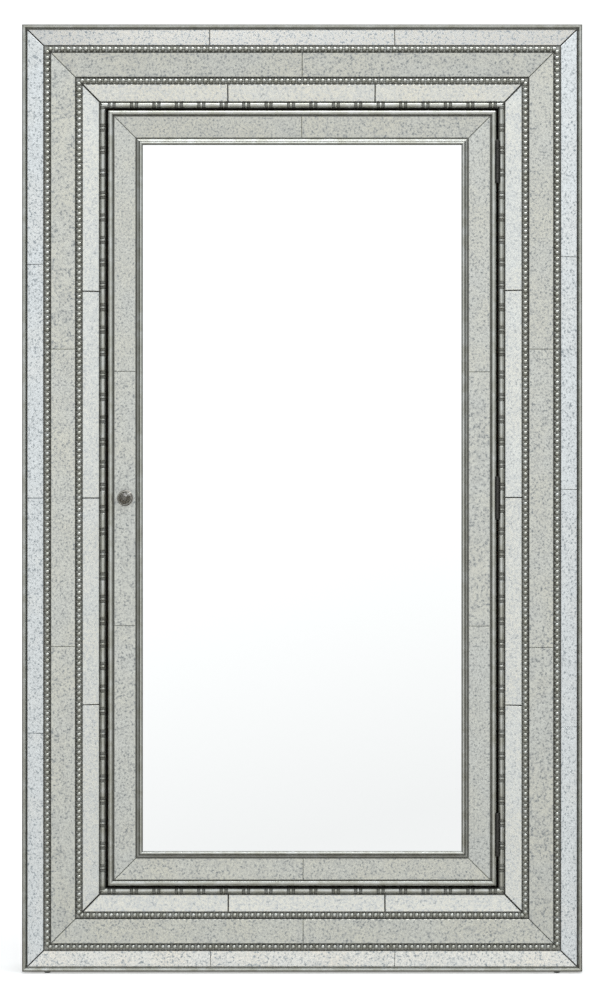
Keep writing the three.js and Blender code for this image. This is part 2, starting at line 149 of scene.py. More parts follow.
class FloorMirrorFinishes(bpy.types.PropertyGroup):
    """Colours of the finishes."""

    pale_silver: colour("Pale silvering", "Outer and inner bands, clear areas", "#f0f2f1")
    pale_tarnish: colour("Pale tarnish", "Outer and inner bands, clouds", "#d2d6d7")
    grey_silver: colour("Grey silvering", "Wide and door bands, clear areas", "#cbccc6")
    grey_tarnish: colour("Grey tarnish", "Wide and door bands, clouds", "#abadaa")
    pewter: colour("Pewter leaf", "Mouldings", "#b1b2a9")
    rubbed: colour("Rubbed crest", "Where the leaf is worn bright", "#cfd2d0")
    # The dark colour of the recesses: wax, and painted shade as well.
    wax_and_shade: colour("Dark wax", "Wax left in the recesses of the mouldings", "#38372f")
    paint: colour("Case paint", "Case and cabinet boards", "#8f8d83")
    velvet: colour("Velvet", "Ring rolls", "#2b2e38")
    lining: colour("Lining cloth", "Cabinet back", "#a59f92")


# ---- Materials ----


def add_node(tree, kind, settings=None, links=None, out=None):
    """Adds one node and returns the output asked for, or the first it has in use. Settings
    name its sockets or options, links give a socket what it reads."""
    made = tree.nodes.new("ShaderNode" + kind)
    for name, value in (settings or {}).items():
        if isinstance(name, int) or name in made.inputs:
            made.inputs[name].default_value = value
        else:
            setattr(made, name, value)
    for name, source in (links or {}).items():
        tree.links.new(source, made.inputs[name])
    return made.outputs[out] if out else next((o for o in made.outputs if o.enabled), None)


def new_material(name, settings):
    """A material with one Principled shader whose even values are set on its own sockets."""
    material = bpy.data.materials.new(name)
    material.use_nodes = True
    tree = material.node_tree
    tree.nodes.clear()
    surface = add_node(tree, "BsdfPrincipled", settings)
    add_node(tree, "OutputMaterial", links={"Surface": surface})
    place = add_node(tree, "TexCoord", out="Object")
    return material, tree, surface.node, place


def feed(shader, links):
    """Gives a shader's sockets what they read."""
    for name, source in links.items():
        shader.id_data.links.new(source, shader.inputs[name])


def antiqued_mirror(name, silver, tarnish, speck, cool, warm, speck_share):
    """Sheet glass, silvered and then antiqued with acid: a soft silver that wanders between
    cool and warm, a fine grain all over, and blue-grey foxing specks where it has lifted."""
    # Real grain and specks are 1 mm and less. They are drawn as coarse as they need to show.
    tint_size = 90 * MM
    cloud_size = 24 * MM
    grain_size = 4.6 * MM
    speck_size = 4.6 * MM
    material, tree, shader, place = new_material(
        name, {"Metallic": 0.45, "Coat Weight": 0.3, "Coat Roughness": 0.05}
    )
    own = add_node(tree, "Attribute", {"attribute_name": "sheet_place"}, out="Vector")
    spot = add_node(tree, "VectorMath", {"operation": "ADD"}, {0: place, 1: own})

    tints = add_node(tree, "TexNoise", {"Scale": 1 / tint_size, "Detail": 2.0}, {"Vector": spot})
    wander = add_node(
        tree,
        "MapRange",
        {"From Min": 0.36, "From Max": 0.64, "To Min": -0.25, "To Max": 0.25},
        {"Value": tints},
    )
    warmth = add_node(tree, "Attribute", {"attribute_name": "sheet_warmth"}, out="Fac")
    warmer = add_node(tree, "Math", {"operation": "ADD", "use_clamp": True}, {0: wander, 1: warmth})
    tinted = add_node(tree, "Mix", {"data_type": "RGBA", 6: cool, 7: warm}, {0: warmer})
    base = add_node(
        tree, "Mix", {"data_type": "RGBA", "blend_type": "MULTIPLY", 0: 1.0, 6: silver}, {7: tinted}
    )

    clouds = add_node(
        tree, "TexNoise", {"Scale": 1 / cloud_size, "Detail": 5.0, "Roughness": 0.7}, {"Vector": spot}
    )
    grain = add_node(
        tree, "TexNoise", {"Scale": 1 / grain_size, "Detail": 2.0, "Roughness": 0.7}, {"Vector": spot}
    )
    cloudy = add_node(
        tree, "MapRange", {"From Min": 0.34, "From Max": 0.7, "To Max": 0.42}, {"Value": clouds}
    )
    grainy = add_node(
        tree,
        "MapRange",
        {"From Min": 0.43, "From Max": 0.62, "To Min": -0.15, "To Max": 0.75},
        {"Value": grain},
    )
    amount = add_node(tree, "Math", {"operation": "ADD", "use_clamp": True}, {0: cloudy, 1: grainy})
    tarnished = add_node(tree, "Mix", {"data_type": "RGBA", 7: tarnish}, {0: amount, 6: base})

    # Foxing: small dark specks of uneven shape, densest where the clouds are.
    flecks = add_node(
        tree, "TexNoise", {"Scale": 1 / speck_size, "Detail": 1.5, "Roughness": 0.6}, {"Vector": spot}
    )
    spread = add_node(tree, "MapRange", {"To Min": -0.05, "To Max": 0.05}, {"Value": clouds})
    raised = add_node(tree, "Math", {"operation": "ADD"}, {0: flecks, 1: spread})
    dot = add_node(
        tree,
        "MapRange",
        {"From Min": 0.66 - 0.14 * speck_share, "From Max": 0.77 - 0.14 * speck_share, "To Max": 0.8},
        {"Value": raised},
    )
    face = add_node(tree, "Mix", {"data_type": "RGBA", 7: speck}, {0: dot, 6: tarnished})
    # Each sheet's brightness is partly painted light: darker or lighter by side, for the light that side
    # reflects.
    depth = add_node(tree, "Attribute", {"attribute_name": "sheet_tone_and_shade"}, out="Fac")
    toned_and_shaded = add_node(tree, "VectorMath", {"operation": "SCALE"}, {0: face, "Scale": depth})
    rough = add_node(tree, "MapRange", {"To Min": 0.22, "To Max": 0.4}, {"Value": amount})
    feed(shader, {"Base Color": toned_and_shaded, "Roughness": rough})
    return material


def silvered_float_glass():
    """Float glass, silvered behind: a clean reflection, only a little hazed by handling."""
    smear_size = 180 * MM
    material, tree, shader, place = new_material(
        "silvered_float_glass", {"Base Color": linear("#f7f9f9"), "Metallic": 1.0}
    )
    smears = add_node(tree, "TexNoise", {"Scale": 1 / smear_size, "Detail": 3.0}, {"Vector": place})
    rough = add_node(tree, "MapRange", {"To Min": 0.004, "To Max": 0.03}, {"Value": smears})
    feed(shader, {"Roughness": rough})
    return material


def waxed_and_shaded_pewter_leaf(finishes):
    """Pewter leaf on gesso, burnished and given a dark waxing: a soft metal with bright rubbed crests,
    recesses darkened partly by the waxing and partly as painted shade, and the fine unevenness of laid
    leaf."""
    patch_size = 22 * MM
    grain_size = 1.6 * MM
    material, tree, shader, place = new_material("waxed_and_shaded_pewter_leaf", {})
    patches = add_node(
        tree, "TexNoise", {"Scale": 1 / patch_size, "Detail": 4.0, "Roughness": 0.65}, {"Vector": place}
    )
    worn = add_node(tree, "MapRange", {"From Min": 0.4, "From Max": 0.75}, {"Value": patches})
    leaf = add_node(tree, "Mix", {"data_type": "RGBA", 6: finishes.pewter, 7: finishes.rubbed}, {0: worn})
    grain = add_node(tree, "TexNoise", {"Scale": 1 / grain_size, "Detail": 2.0}, {"Vector": place})
    # The recesses' darkening, read from the mesh: dark wax, and painted shade.
    recess = add_node(tree, "Attribute", {"attribute_name": "wax_and_shade"}, out="Fac")
    smudge = add_node(tree, "MapRange", {"To Min": -0.12, "To Max": 0.12}, {"Value": grain})
    wax_and_shade_level = add_node(tree, "Math", {"operation": "ADD", "use_clamp": True}, {0: recess, 1: smudge})
    face = add_node(tree, "Mix", {"data_type": "RGBA", 7: finishes.wax_and_shade}, {0: wax_and_shade_level, 6: leaf})
    metal = add_node(tree, "MapRange", {"To Min": 0.95, "To Max": 0.1}, {"Value": wax_and_shade_level})
    rough = add_node(tree, "MapRange", {"To Min": 0.24, "To Max": 0.6}, {"Value": wax_and_shade_level})
    bump = add_node(tree, "Bump", {"Strength": 0.25, "Distance": 0.15 * MM}, {"Height": grain})
    feed(shader, {"Base Color": face, "Metallic": metal, "Roughness": rough, "Normal": bump})
    return material


def brushed_paint(name, base, along):
    """Silver-grey lacquer brushed on fibreboard: satin, with brush marks along the board."""
    stroke_length = 260 * MM
    stroke_width = 2.2 * MM
    material, tree, shader, place = new_material(name, {"Metallic": 0.25, "Coat Weight": 0.15})
    stretch = [1 / stroke_width] * 3
    stretch["XYZ".index(along)] = 1 / stroke_length
    strokes = add_node(tree, "Mapping", {"Scale": stretch}, {"Vector": place})
    marks = add_node(
        tree, "TexNoise", {"Scale": 1.0, "Detail": 3.0, "Roughness": 0.6}, {"Vector": strokes}
    )
    darker = [c * 0.72 for c in base[:3]] + [1.0]
    lighter = [min(1.0, c * 1.18) for c in base[:3]] + [1.0]
    face = add_node(tree, "Mix", {"data_type": "RGBA", 6: darker, 7: lighter}, {0: marks})
    rough = add_node(tree, "MapRange", {"To Min": 0.36, "To Max": 0.56}, {"Value": marks})
    bump = add_node(tree, "Bump", {"Strength": 0.2, "Distance": 0.1 * MM}, {"Height": marks})
    feed(shader, {"Base Color": face, "Roughness": rough, "Normal": bump})
    return material


def grained_solid(name, base, other, grain_size, settings, bump_depth=0.05 * MM):
    """One even material with a fine grain of a second colour: board, cast metal or plastic,
    by its settings."""
    material, tree, shader, place = new_material(name, settings)
    grain = add_node(
        tree, "TexNoise", {"Scale": 1 / grain_size, "Detail": 3.0, "Roughness": 0.6}, {"Vector": place}
    )
    clear = add_node(tree, "MapRange", {"From Min": 0.35, "From Max": 0.65}, {"Value": grain})
    face = add_node(tree, "Mix", {"data_type": "RGBA", 6: linear(base), 7: linear(other)}, {0: clear})
    bump = add_node(tree, "Bump", {"Strength": 0.3, "Distance": bump_depth}, {"Height": grain})
    feed(shader, {"Base Color": face, "Normal": bump})
    return material


def dark_bronze():
    """Brass, chemically bronzed: near black, with a low metal sheen where hands rub it."""
    return grained_solid("dark_bronze", "#393837", "#565452", 3 * MM, {"Metallic": 0.9, "Roughness": 0.4})


def black_nickel():
    """Black nickel plate on turned brass: a dark, smooth mirror finish."""
    return grained_solid(
        "black_nickel", "#807d78", "#918e88", 5 * MM, {"Metallic": 1.0, "Roughness": 0.16}, 0.01 * MM
    )


def satin_nickel():
    """Nickel plate on turned steel, satin: even and bright, with a soft reflection."""
    return grained_solid(
        "satin_nickel", "#bdbcb8", "#adaca8", 2 * MM, {"Metallic": 1.0, "Roughness": 0.24}, 0.02 * MM
    )


def zinc_plated_steel():
    """Pressed steel with bright zinc plate: cool grey, faintly spangled."""
    return grained_solid(
        "zinc_plated_steel", "#a9adb0", "#8f9396", 2.5 * MM, {"Metallic": 1.0, "Roughness": 0.33}
    )


def shade_black_fibreboard():
    """Fibreboard made near-black as painted shade: what shows between the glass and the
    mouldings, and in the gap round the door."""
    return grained_solid("shade_black_fibreboard", "#211f1a", "#2f2c25", 1.2 * MM, {"Roughness": 0.85})


def raw_hardboard():
    """Hardboard, pressed and left raw: warm brown with fine fibres."""
    return grained_solid("raw_hardboard", "#6d5138", "#8a6a4b", 2.2 * MM, {"Roughness": 0.72}, 0.12 * MM)


def moulded_nylon():
    """Injection-moulded nylon: black, dull, with a fine moulded texture."""
    return grained_solid("moulded_nylon", "#161616", "#242424", 1 * MM, {"Roughness": 0.5})


def cut_crystal():
    """Lead crystal, cut and polished: clear facets that bend what is behind them, faintly
    smoky."""
    swirl_size = 9 * MM
    material, tree, shader, place = new_material(
        "cut_crystal", {"Roughness": 0.0, "IOR": 1.6, "Transmission Weight": 1.0}
    )
    swirls = add_node(tree, "TexNoise", {"Scale": 1 / swirl_size, "Detail": 1.0}, {"Vector": place})
    face = add_node(
        tree, "Mix", {"data_type": "RGBA", 6: linear("#cfcdc6"), 7: linear("#a8a59c")}, {0: swirls}
    )
    feed(shader, {"Base Color": face})
    return material


def short_velvet(pile_colour):
    """Cotton velvet, short pile: dark, with light caught at grazing angles and brushed
    patches in the pile."""
    patch_size = 14 * MM
    pile_size = 0.9 * MM
    material, tree, shader, place = new_material(
        "short_velvet", {"Roughness": 0.95, "Sheen Weight": 0.8, "Sheen Roughness": 0.35}
    )
    patches = add_node(tree, "TexNoise", {"Scale": 1 / patch_size, "Detail": 2.0}, {"Vector": place})
    lighter = [min(1.0, c * 1.8) for c in pile_colour[:3]] + [1.0]
    face = add_node(tree, "Mix", {"data_type": "RGBA", 6: list(pile_colour), 7: lighter}, {0: patches})
    pile = add_node(tree, "TexNoise", {"Scale": 1 / pile_size, "Detail": 1.0}, {"Vector": place})
    bump = add_node(tree, "Bump", {"Strength": 0.6, "Distance": 0.4 * MM}, {"Height": pile})
    feed(shader, {"Base Color": face, "Normal": bump})
    return material


def woven_lining(cloth_colour):
    """Plain-woven linen on a board. The threads are drawn 3 mm apart, coarser than real ones,
    so that the weave shows at all."""
    thread = 3 * MM
    material, tree, shader, place = new_material("woven_lining", {"Roughness": 0.9, "Sheen Weight": 0.2})
    # A wave texture of scale 1 has 20 / 6.28 bands to the metre.
    weave_scale = 1 / (20 * thread) * 6.28
    warp, weft = [
        add_node(
            tree,
            "TexWave",
            {"bands_direction": direction, "Scale": weave_scale, "Distortion": 0.4},
            {"Vector": place},
            out="Fac",
        )
        for direction in "XZ"
    ]
    weave = add_node(tree, "Math", {"operation": "MULTIPLY"}, {0: warp, 1: weft})
    darker = [c * 0.7 for c in cloth_colour[:3]] + [1.0]
    face = add_node(tree, "Mix", {"data_type": "RGBA", 6: darker, 7: list(cloth_colour)}, {0: weave})
    bump = add_node(tree, "Bump", {"Strength": 0.4, "Distance": 0.3 * MM}, {"Height": weave})
    feed(shader, {"Base Color": face, "Normal": bump})
    return material


def shared(maker, *details):
    """The material that a maker makes, made once and then found again by the maker's name."""
    key = maker.__name__
    if key not in bpy.data.materials:
        maker(*details)
    return bpy.data.materials[key]


# ---- Meshes ----


def finish_piece(name, bm, materials, body, slot, replaced=(), smooth=32.0):
    """Turns a bmesh into a piece of the object: closed, its faces out, shaded, and riding."""
    bmesh.ops.recalc_face_normals(bm, faces=bm.faces)
    mesh = bpy.data.meshes.new(name)
    bm.to_mesh(mesh)
    bm.free()
    for material in materials:
        mesh.materials.append(material)
    if smooth:
        mesh.shade_smooth()
        mesh.set_sharp_from_angle(angle=math.radians(smooth))
    piece = bpy.data.objects.new(name, mesh)
    bpy.context.scene.collection.objects.link(piece)
    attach(piece, body)
    if replaced:
        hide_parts(*replaced)
    return piece


def loft_faces(stations, points, first=0):
    """The faces of a closed tube of loops, with a flat cap at each end."""
    index = first + np.arange(stations * points).reshape(stations, points)
    ahead = np.roll(index, -1, axis=1)
    quads = np.stack([index[:-1], ahead[:-1], ahead[1:], index[1:]], axis=-1).reshape(-1, 4)
    return quads.tolist() + [index[0][::-1].tolist(), index[-1].tolist()]


def bmesh_of(shells, values=None, bm=None):
    """A bmesh of shells, which are closed tubes of loops, or a given one with them added.
    Values hold, by attribute name, one number or vector for every point of every shell."""
    points = np.concatenate([shell.reshape(-1, 3) for shell in shells])
    faces = []
    first = 0
    for shell in shells:
        stations, around = shell.shape[:2]
        faces += loft_faces(stations, around, first)
        first += stations * around
    mesh = bpy.data.meshes.new("shells")
    mesh.from_pydata(points.tolist(), [], faces)
    for name, data in (values or {}).items():
        kind, key = ("FLOAT_VECTOR", "vector") if data[0].ndim == 3 else ("FLOAT", "value")
        flat = np.concatenate([each.ravel() for each in data]).astype(np.float32)
        mesh.attributes.new(name, kind, "POINT").data.foreach_set(key, flat)
    if bm is None:
        bm = bmesh.new()
    bm.from_mesh(mesh)
    bpy.data.meshes.remove(mesh)
    return bm


def on_side(side, half_width, depth, run):
    """Points of one side of the frame, from half width, depth (y) and run from its middle."""
    out_x, out_z = SIDES[side]
    x = out_x * half_width - out_z * run
    z = MIDDLE_Z + out_z * (half_width + TALLER) + out_x * run
    return np.stack([x, np.broadcast_to(depth, x.shape), z], axis=-1)


def reach(side, half_width, gap):
    """How far a side runs from its middle to its mitre, less half the gap there."""
    straight = TALLER if SIDES[side][0] else 0.0
    return half_width + straight - gap * math.sqrt(0.5)


def node_points(node):
    return np.array([v.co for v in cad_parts[node].data.vertices])


def ring_section(node):
    """(outer half width, inner half width, back, crest) of a moulding that runs all round."""
    points = node_points(node)
    return (
        points[:, 0].max(), points[:, 0][(points[:, 0] > 0)].min(), points[:, 1].max(), points[:, 1].min()
    )


def strip_section(node, side):
    """(outer, inner, face at the outer edge, face at the inner edge, thickness) of a band."""
    points = node_points(node)
    out_x, out_z = SIDES[side]
    half_width = out_x * points[:, 0] + out_z * (points[:, 2] - MIDDLE_Z) - abs(out_z) * TALLER
    outer, inner = half_width.max(), half_width.min()
    at_outer = points[:, 1][half_width > outer - 0.1 * MM]
    at_inner = points[:, 1][half_width < inner + 0.1 * MM]
    return outer, inner, at_outer.min(), at_inner.min(), at_outer.max() - at_outer.min()


def rounded(corners, radius, steps=4):
    """A closed outline with each corner turned into an arc, never past half an edge."""
    outline = []
    count = len(corners)
    for i, corner in enumerate(corners):
        here = np.array(corner, float)
        before = np.array(corners[i - 1], float) - here
        after = np.array(corners[(i + 1) % count], float) - here
        reach_in = min(radius, np.linalg.norm(before) / 2.01, np.linalg.norm(after) / 2.01)
        start = here + before / np.linalg.norm(before) * reach_in
        end = here + after / np.linalg.norm(after) * reach_in
        for t in np.linspace(0, 1, steps + 1):
            outline.append((1 - t) ** 2 * start + 2 * t * (1 - t) * here + t**2 * end)
    return np.array(outline)


def crown(outer, inner, foot, crest, steps=14):
    """Half an ellipse from a moulding's outer foot to its inner foot, as (half width, y)."""
    angle = np.linspace(0, math.pi, steps + 1)
    across = (outer + inner) / 2 + (outer - inner) / 2 * np.cos(angle)
    return list(zip(across, foot + (crest - foot) * np.sin(angle)))


def prism(outline, low, high):
    """An outline of (y, z) points extruded along X."""
    return np.array([np.insert(outline, 0, place, axis=1) for place in (low, high)])


def turned(profile, foot, direction, segments=32):
    """A turned shell. The profile is (height, radius) pairs, up the axis from the foot."""
    turn = Vector((0, 0, 1)).rotation_difference(Vector(direction))
    angle = np.linspace(0, 2 * math.pi, segments, endpoint=False)
    ring = np.stack([np.cos(angle), np.sin(angle), np.zeros(segments)], axis=-1)
    loops = []
    for height, radius in profile:
        loop = ring * max(radius, 0.02 * MM) + np.array([0, 0, height])
        loops.append([list(turn @ Vector(point) + Vector(foot)) for point in loop])
    return np.array(loops)


def tube(outer, inner, height, middle, edge, segments=28):
    """A knuckle standing on Z: outside wall, then back down the bore, closed on itself."""
    half = height / 2
    profile = [
        (-half, inner), (-half, outer - edge), (-half + edge, outer),
        (half - edge, outer), (half, outer - edge), (half, inner),
    ]
    angle = np.linspace(0, 2 * math.pi, segments, endpoint=False)
    loops = []
    for turn in angle:
        loops.append([
            (middle[0] + r * math.cos(turn), middle[1] + r * math.sin(turn), middle[2] + z)
            for z, r in profile
        ])
    return np.array(loops)


def add_board(bm, low, high, edge):
    """A board between two corners with rounded edges, added to a bmesh."""
    low, high = Vector(low), Vector(high)
    made = bmesh.ops.create_cube(bm, size=1.0)["verts"]
    for vert in made:
        vert.co = Vector((low[i] + (vert.co[i] + 0.5) * (high[i] - low[i])) for i in range(3))
    edges = list(dict.fromkeys(e for v in made for e in v.link_edges))
    bmesh.ops.bevel(
        bm, geom=edges, offset=edge, segments=2, affect="EDGES", profile=0.5, clamp_overlap=True
    )


def add_rings(bm, shells):
    """Lofted shells that close on themselves all the way round, such as a tube's wall."""
    for shell in shells:
        around, points = shell.shape[:2]
        verts = [[bm.verts.new(point) for point in loop] for loop in shell]
        for i in range(around):
            ahead = (i + 1) % around
            for k in range(points):
                beside = (k + 1) % points
                bm.faces.new((verts[i][k], verts[i][beside], verts[ahead][beside], verts[ahead][k]))


# ---- Mirror bands ----


def tile(side, section, joint, mitre, arris, start, end):
    """One antiqued tile between two joints, or to the mitre where a joint is None."""
    outer, inner, face_outer, face_inner, thick = section
    slope = (face_inner - face_outer) / (inner - outer)
    half_width = np.array([outer, outer, outer - arris, inner + arris, inner, inner])
    flat = face_outer + slope * (half_width - outer)
    sunk = np.array([thick, arris, 0, 0, arris, thick])
    at_end = np.array([thick, arris, arris, arris, arris, thick])
    depth = np.stack([flat + at_end, flat + sunk, flat + sunk, flat + at_end])
    limit = reach(side, half_width, mitre)
    inset = arris * math.sqrt(2)
    low = -limit if start is None else np.full(6, start + joint / 2)
    high = limit if end is None else np.full(6, end - joint / 2)
    low_in = low + (inset if start is None else arris)
    high_in = high - (inset if end is None else arris)
    run = np.stack([low, low_in, high_in, high])
    return on_side(side, np.broadcast_to(half_width, run.shape), depth, run)


def make_band(band, body, joint, mitre, arris, material, rng):
    """The four sides of one band, each a row of tiles."""
    for side, joints in JOINTS[band].items():
        node = f"{band}_mirror_{side}"
        section = strip_section(node, side)
        # Runs go round the frame, so on two sides they go against +X or +Z.
        forward = SIDES[side][0] - SIDES[side][1]
        places = sorted(forward * place * MM for place in joints)
        # The side's brightness is partly painted light, for the light that side reflects.
        tone_and_shade, warmth = SHEETS[band][side]
        shells = []
        values = {"sheet_place": [], "sheet_tone_and_shade": [], "sheet_warmth": []}
        for start, end in zip([None, *places], [*places, None]):
            shell = tile(side, section, joint, mitre, arris, start, end)
            shells.append(shell)
            shift = np.array([rng.uniform(-5, 5) for _ in range(3)])
            values["sheet_place"].append(np.broadcast_to(shift, shell.shape))
            values["sheet_tone_and_shade"].append(np.full(shell.shape[:2], tone_and_shade * rng.uniform(0.985, 1.015)))
            values["sheet_warmth"].append(np.full(shell.shape[:2], warmth))
        bm = bmesh_of(shells, values)
        finish_piece(f"{node}_tiles", bm, [material], body, "antique_mirror", [node], smooth=None)


class FLOORMIRROR_OT_bands(bpy.types.Operator):
    """Lays the antiqued mirror tiles of the frame's three bands and the door's band"""

    bl_idname = "floor_mirror.bands"
    bl_label = "Antiqued Mirror Bands"

    def execute(self, context):
        sizes = context.scene.floor_mirror_sizes
        finishes = context.scene.floor_mirror_finishes
        rng = random.Random(11)
        pale = (list(finishes.pale_silver), list(finishes.pale_tarnish))
        grey = (list(finishes.grey_silver), list(finishes.grey_tarnish))
        cool = linear("#f8fbfe")
        outer_glass = antiqued_mirror(
            "antiqued_mirror_specked", *pale, linear("#87929a"), cool, linear("#fff9f0"), 0.62
        )
        inner_glass = antiqued_mirror(
            "antiqued_mirror_pale", *pale, linear("#a3a6a3"), linear("#fbfcfa"), linear("#fffbf0"), 0.2
        )
        grey_glass = antiqued_mirror(
            "antiqued_mirror_grey", *grey, linear("#767d80"), cool, linear("#fefcf4"), 0.45
        )
        arris = sizes.arris
        make_band("outer", CABINET, sizes.outer_joint, sizes.outer_mitre, arris, outer_glass, rng)
        make_band("wide", CABINET, sizes.wide_joint, sizes.wide_mitre, arris, grey_glass, rng)
        make_band("inner", CABINET, sizes.inner_joint, sizes.inner_mitre, arris, inner_glass, rng)
        make_band("door", DOOR, sizes.door_joint, sizes.door_mitre, arris, grey_glass, rng)
        return {"FINISHED"}


# ---- Mouldings ----

MITRE_LINE = 0.12 * MM
PAST_MITRE = 9.0  # a run beyond any mitre, in metres, which is then cut back to it


def make_moulding(name, node, body, section_at, runs_for, finishes):
    """A moulding of four mitred lengths. Section_at gives half widths, depths and the darkening
    by waxing and painted shade for every run of a side, and runs_for the runs of a side."""
    shells = []
    wax_and_shade = []
    for side in SIDES:
        runs = runs_for(side)
        half_width, depth, wax_and_shade_level = section_at(side, runs)
        limit = reach(side, half_width, MITRE_LINE)
        run = np.clip(runs[:, None], -limit, limit)
        shells.append(on_side(side, half_width, depth, run))
        wax_and_shade.append(wax_and_shade_level)
    bm = bmesh_of(shells, {"wax_and_shade": wax_and_shade})
    material = shared(waxed_and_shaded_pewter_leaf, finishes)
    return finish_piece(name, bm, [material], body, "moulding", [node])


def plain_moulding(name, node, body, outline, finishes, side_shading=None):
    """A moulding with one section all along: outline points are (half width, y, darkening by
    waxing and painted shade). The table of sides gives, as painted light for a side that the light
    falls on otherwise, the share of the darkening kept and the least darkening on the outer flank."""
    half_width, depth, wax_and_shade = np.array(outline).T
    ends = np.array([-PAST_MITRE, PAST_MITRE])
    flank = half_width > half_width.max() - 4 * MM

    def section_at(side, runs):
        kept, least = (side_shading or {}).get(side, (1.0, 0.0))
        wax_and_shade_level = np.where(flank, np.maximum(kept * wax_and_shade, least), kept * wax_and_shade)
        return tuple(np.tile(values, (len(runs), 1)) for values in (half_width, depth, wax_and_shade_level))

    return make_moulding(name, node, body, section_at, lambda side: ends, finishes)


def with_wax(points, foot, height):
    """Adds darkening (waxing and painted shade) to a cushion's (half width, y) points, more towards its
    inner foot.
    """
    middle = (points[0][0] + points[-1][0]) / 2
    made = []
    for half_width, y in points:
        share = max(0.0, 1.0 - abs(y - foot) / height) ** 1.5
        made.append((half_width, y, 0.8 * share if half_width < middle else 0.2 * share))
    return made


class FLOORMIRROR_OT_plain_mouldings(bpy.types.Operator):
    """Makes the frame's edge moulding and the door's edge and sight mouldings"""

    bl_idname = "floor_mirror.plain_mouldings"
    bl_label = "Plain Mouldings"

    def execute(self, context):
        finishes = context.scene.floor_mirror_finishes

        # A cushion on the frame's outer edge, with a quirk beside the glass darkened by wax and painted
        # shade.
        outer, inner, back, crest = ring_section("edge_moulding")
        quirk = 2.4 * MM
        floor = crest + 5.4 * MM
        cushion_foot = crest + 6 * MM
        outline = [
            (inner, back, 1.0),
            (outer - 0.6 * MM, back, 0.6),
            (outer, back - 0.6 * MM, 0.2),
            *with_wax(crown(outer, inner + quirk, cushion_foot, crest), foot=floor, height=1.4 * MM),
            (inner + quirk - 0.2 * MM, floor, 1.0),
            (inner, floor, 1.0),
        ]
        # Painted light by side: the top keeps less of its darkening, but its outer flank is darkened as
        # painted shade against the bright light from above; the bottom keeps half, so it reads lighter.
        side_shading = {"top": (0.7, 0.65), "bottom": (0.5, 0.0)}
        plain_moulding("edge_moulding_leafed", "edge_moulding", CABINET, outline, finishes, side_shading)

        # On the door's edge: a cushion, then a quirk darkened by wax and painted shade, and a thin fillet
        # at the band.
        outer, inner, back, crest = ring_section("door_edge_moulding")
        quirk = 2.2 * MM
        floor = crest + 3.4 * MM
        outline = [
            (inner, back, 1.0),
            (outer, back, 0.8),
            *with_wax(crown(outer, inner + quirk, back - 0.4 * MM, crest), foot=floor, height=1.3 * MM),
            (inner + quirk - 0.2 * MM, floor, 1.0),
            (inner + 0.7 * MM, floor, 1.0),
            (inner + 0.5 * MM, floor - 0.6 * MM, 0.3),
            (inner, floor - 0.6 * MM, 0.3),
        ]
        plain_moulding("door_edge_moulding_leafed", "door_edge_moulding", DOOR, outline, finishes)

        # Round the centre mirror: a quirk at the band darkened by wax and painted shade, a dull slope,
        # then a cushion that falls to the glass.
        outer, inner, back, crest = ring_section("door_sight_moulding")
        floor = crest + 3.6 * MM
        slope = 5.2 * MM
        outline = [
            (inner, back, 1.0),
            (outer, back, 1.0),
            (outer, floor - 0.6 * MM, 0.5),
            (outer - 0.7 * MM, floor - 0.5 * MM, 0.7),
            (outer - 0.9 * MM, floor, 1.0),
            (outer - 2.3 * MM, floor, 1.0),
            (outer - 2.6 * MM, floor - 0.8 * MM, 0.3),
            (outer - slope - 1.4 * MM, crest + 0.9 * MM, 0.08),
            *with_wax(
                crown(outer - slope - 1.5 * MM, inner, floor + 1.0 * MM, crest),
                foot=floor, height=1.6 * MM,
            ),
        ]
        plain_moulding("door_sight_moulding_leafed", "door_sight_moulding", DOOR, outline, finishes)
        return {"FINISHED"}


def strung_moulding(name, node, widest, radius_at, dulled_at, layout, track, finishes):
    """A moulding that carries a string of turned shapes in a track. Widest is the string's
    largest radius, radius_at its radius at any run, and the next argument how much more it is
    darkened there. Layout gives the runs of the string up to a side's mitres, and track holds
    the middle's half width, its depth, and the darkening of its floor by waxing and painted shade."""
    outer, inner, back, crest = ring_section(node)
    centre, base_y, floor_wax_and_shade = track
    arc = np.linspace(0, math.pi, 13)
    largest = abs(base_y - crest)
    groove = min(1.3 * MM, (outer - centre - widest) * 0.8)

    def section_at(side, runs):
        def column(value):
            return np.full((len(runs), 1), value)

        radius = radius_at(runs)[:, None]
        rise = radius / widest * largest
        across = centre + radius * np.cos(arc)
        depth = base_y - rise * np.sin(arc)
        foot = column(base_y)
        half_width = np.concatenate(
            [column(inner), column(outer), column(outer), column(centre + widest + groove), across,
             column(inner)],
            axis=1,
        )
        y = np.concatenate([column(back), column(back), foot, foot, depth, foot], axis=1)
        # Each turning is darkened down its flanks towards the track's floor: wax, and painted shade.
        away = 1.0 - (rise * np.sin(arc)) / largest
        hollow = np.clip(away, 0.0, 1.0) ** 3 * (0.1 + 0.8 * np.abs(np.cos(arc)) ** 4)
        hollow = np.where(radius < 0.6 * widest, floor_wax_and_shade, hollow + dulled_at(runs)[:, None])
        wax_and_shade_level = np.concatenate(
            [column(1.0), column(1.0), column(1.0), column(0.95), hollow, column(1.0)], axis=1
        )
        return half_width, y, wax_and_shade_level

    def runs_for(side):
        string = layout(reach(side, centre, MITRE_LINE))
        return np.concatenate([[-PAST_MITRE], string, [PAST_MITRE]])

    return make_moulding(name, node, CABINET, section_at, runs_for, finishes)


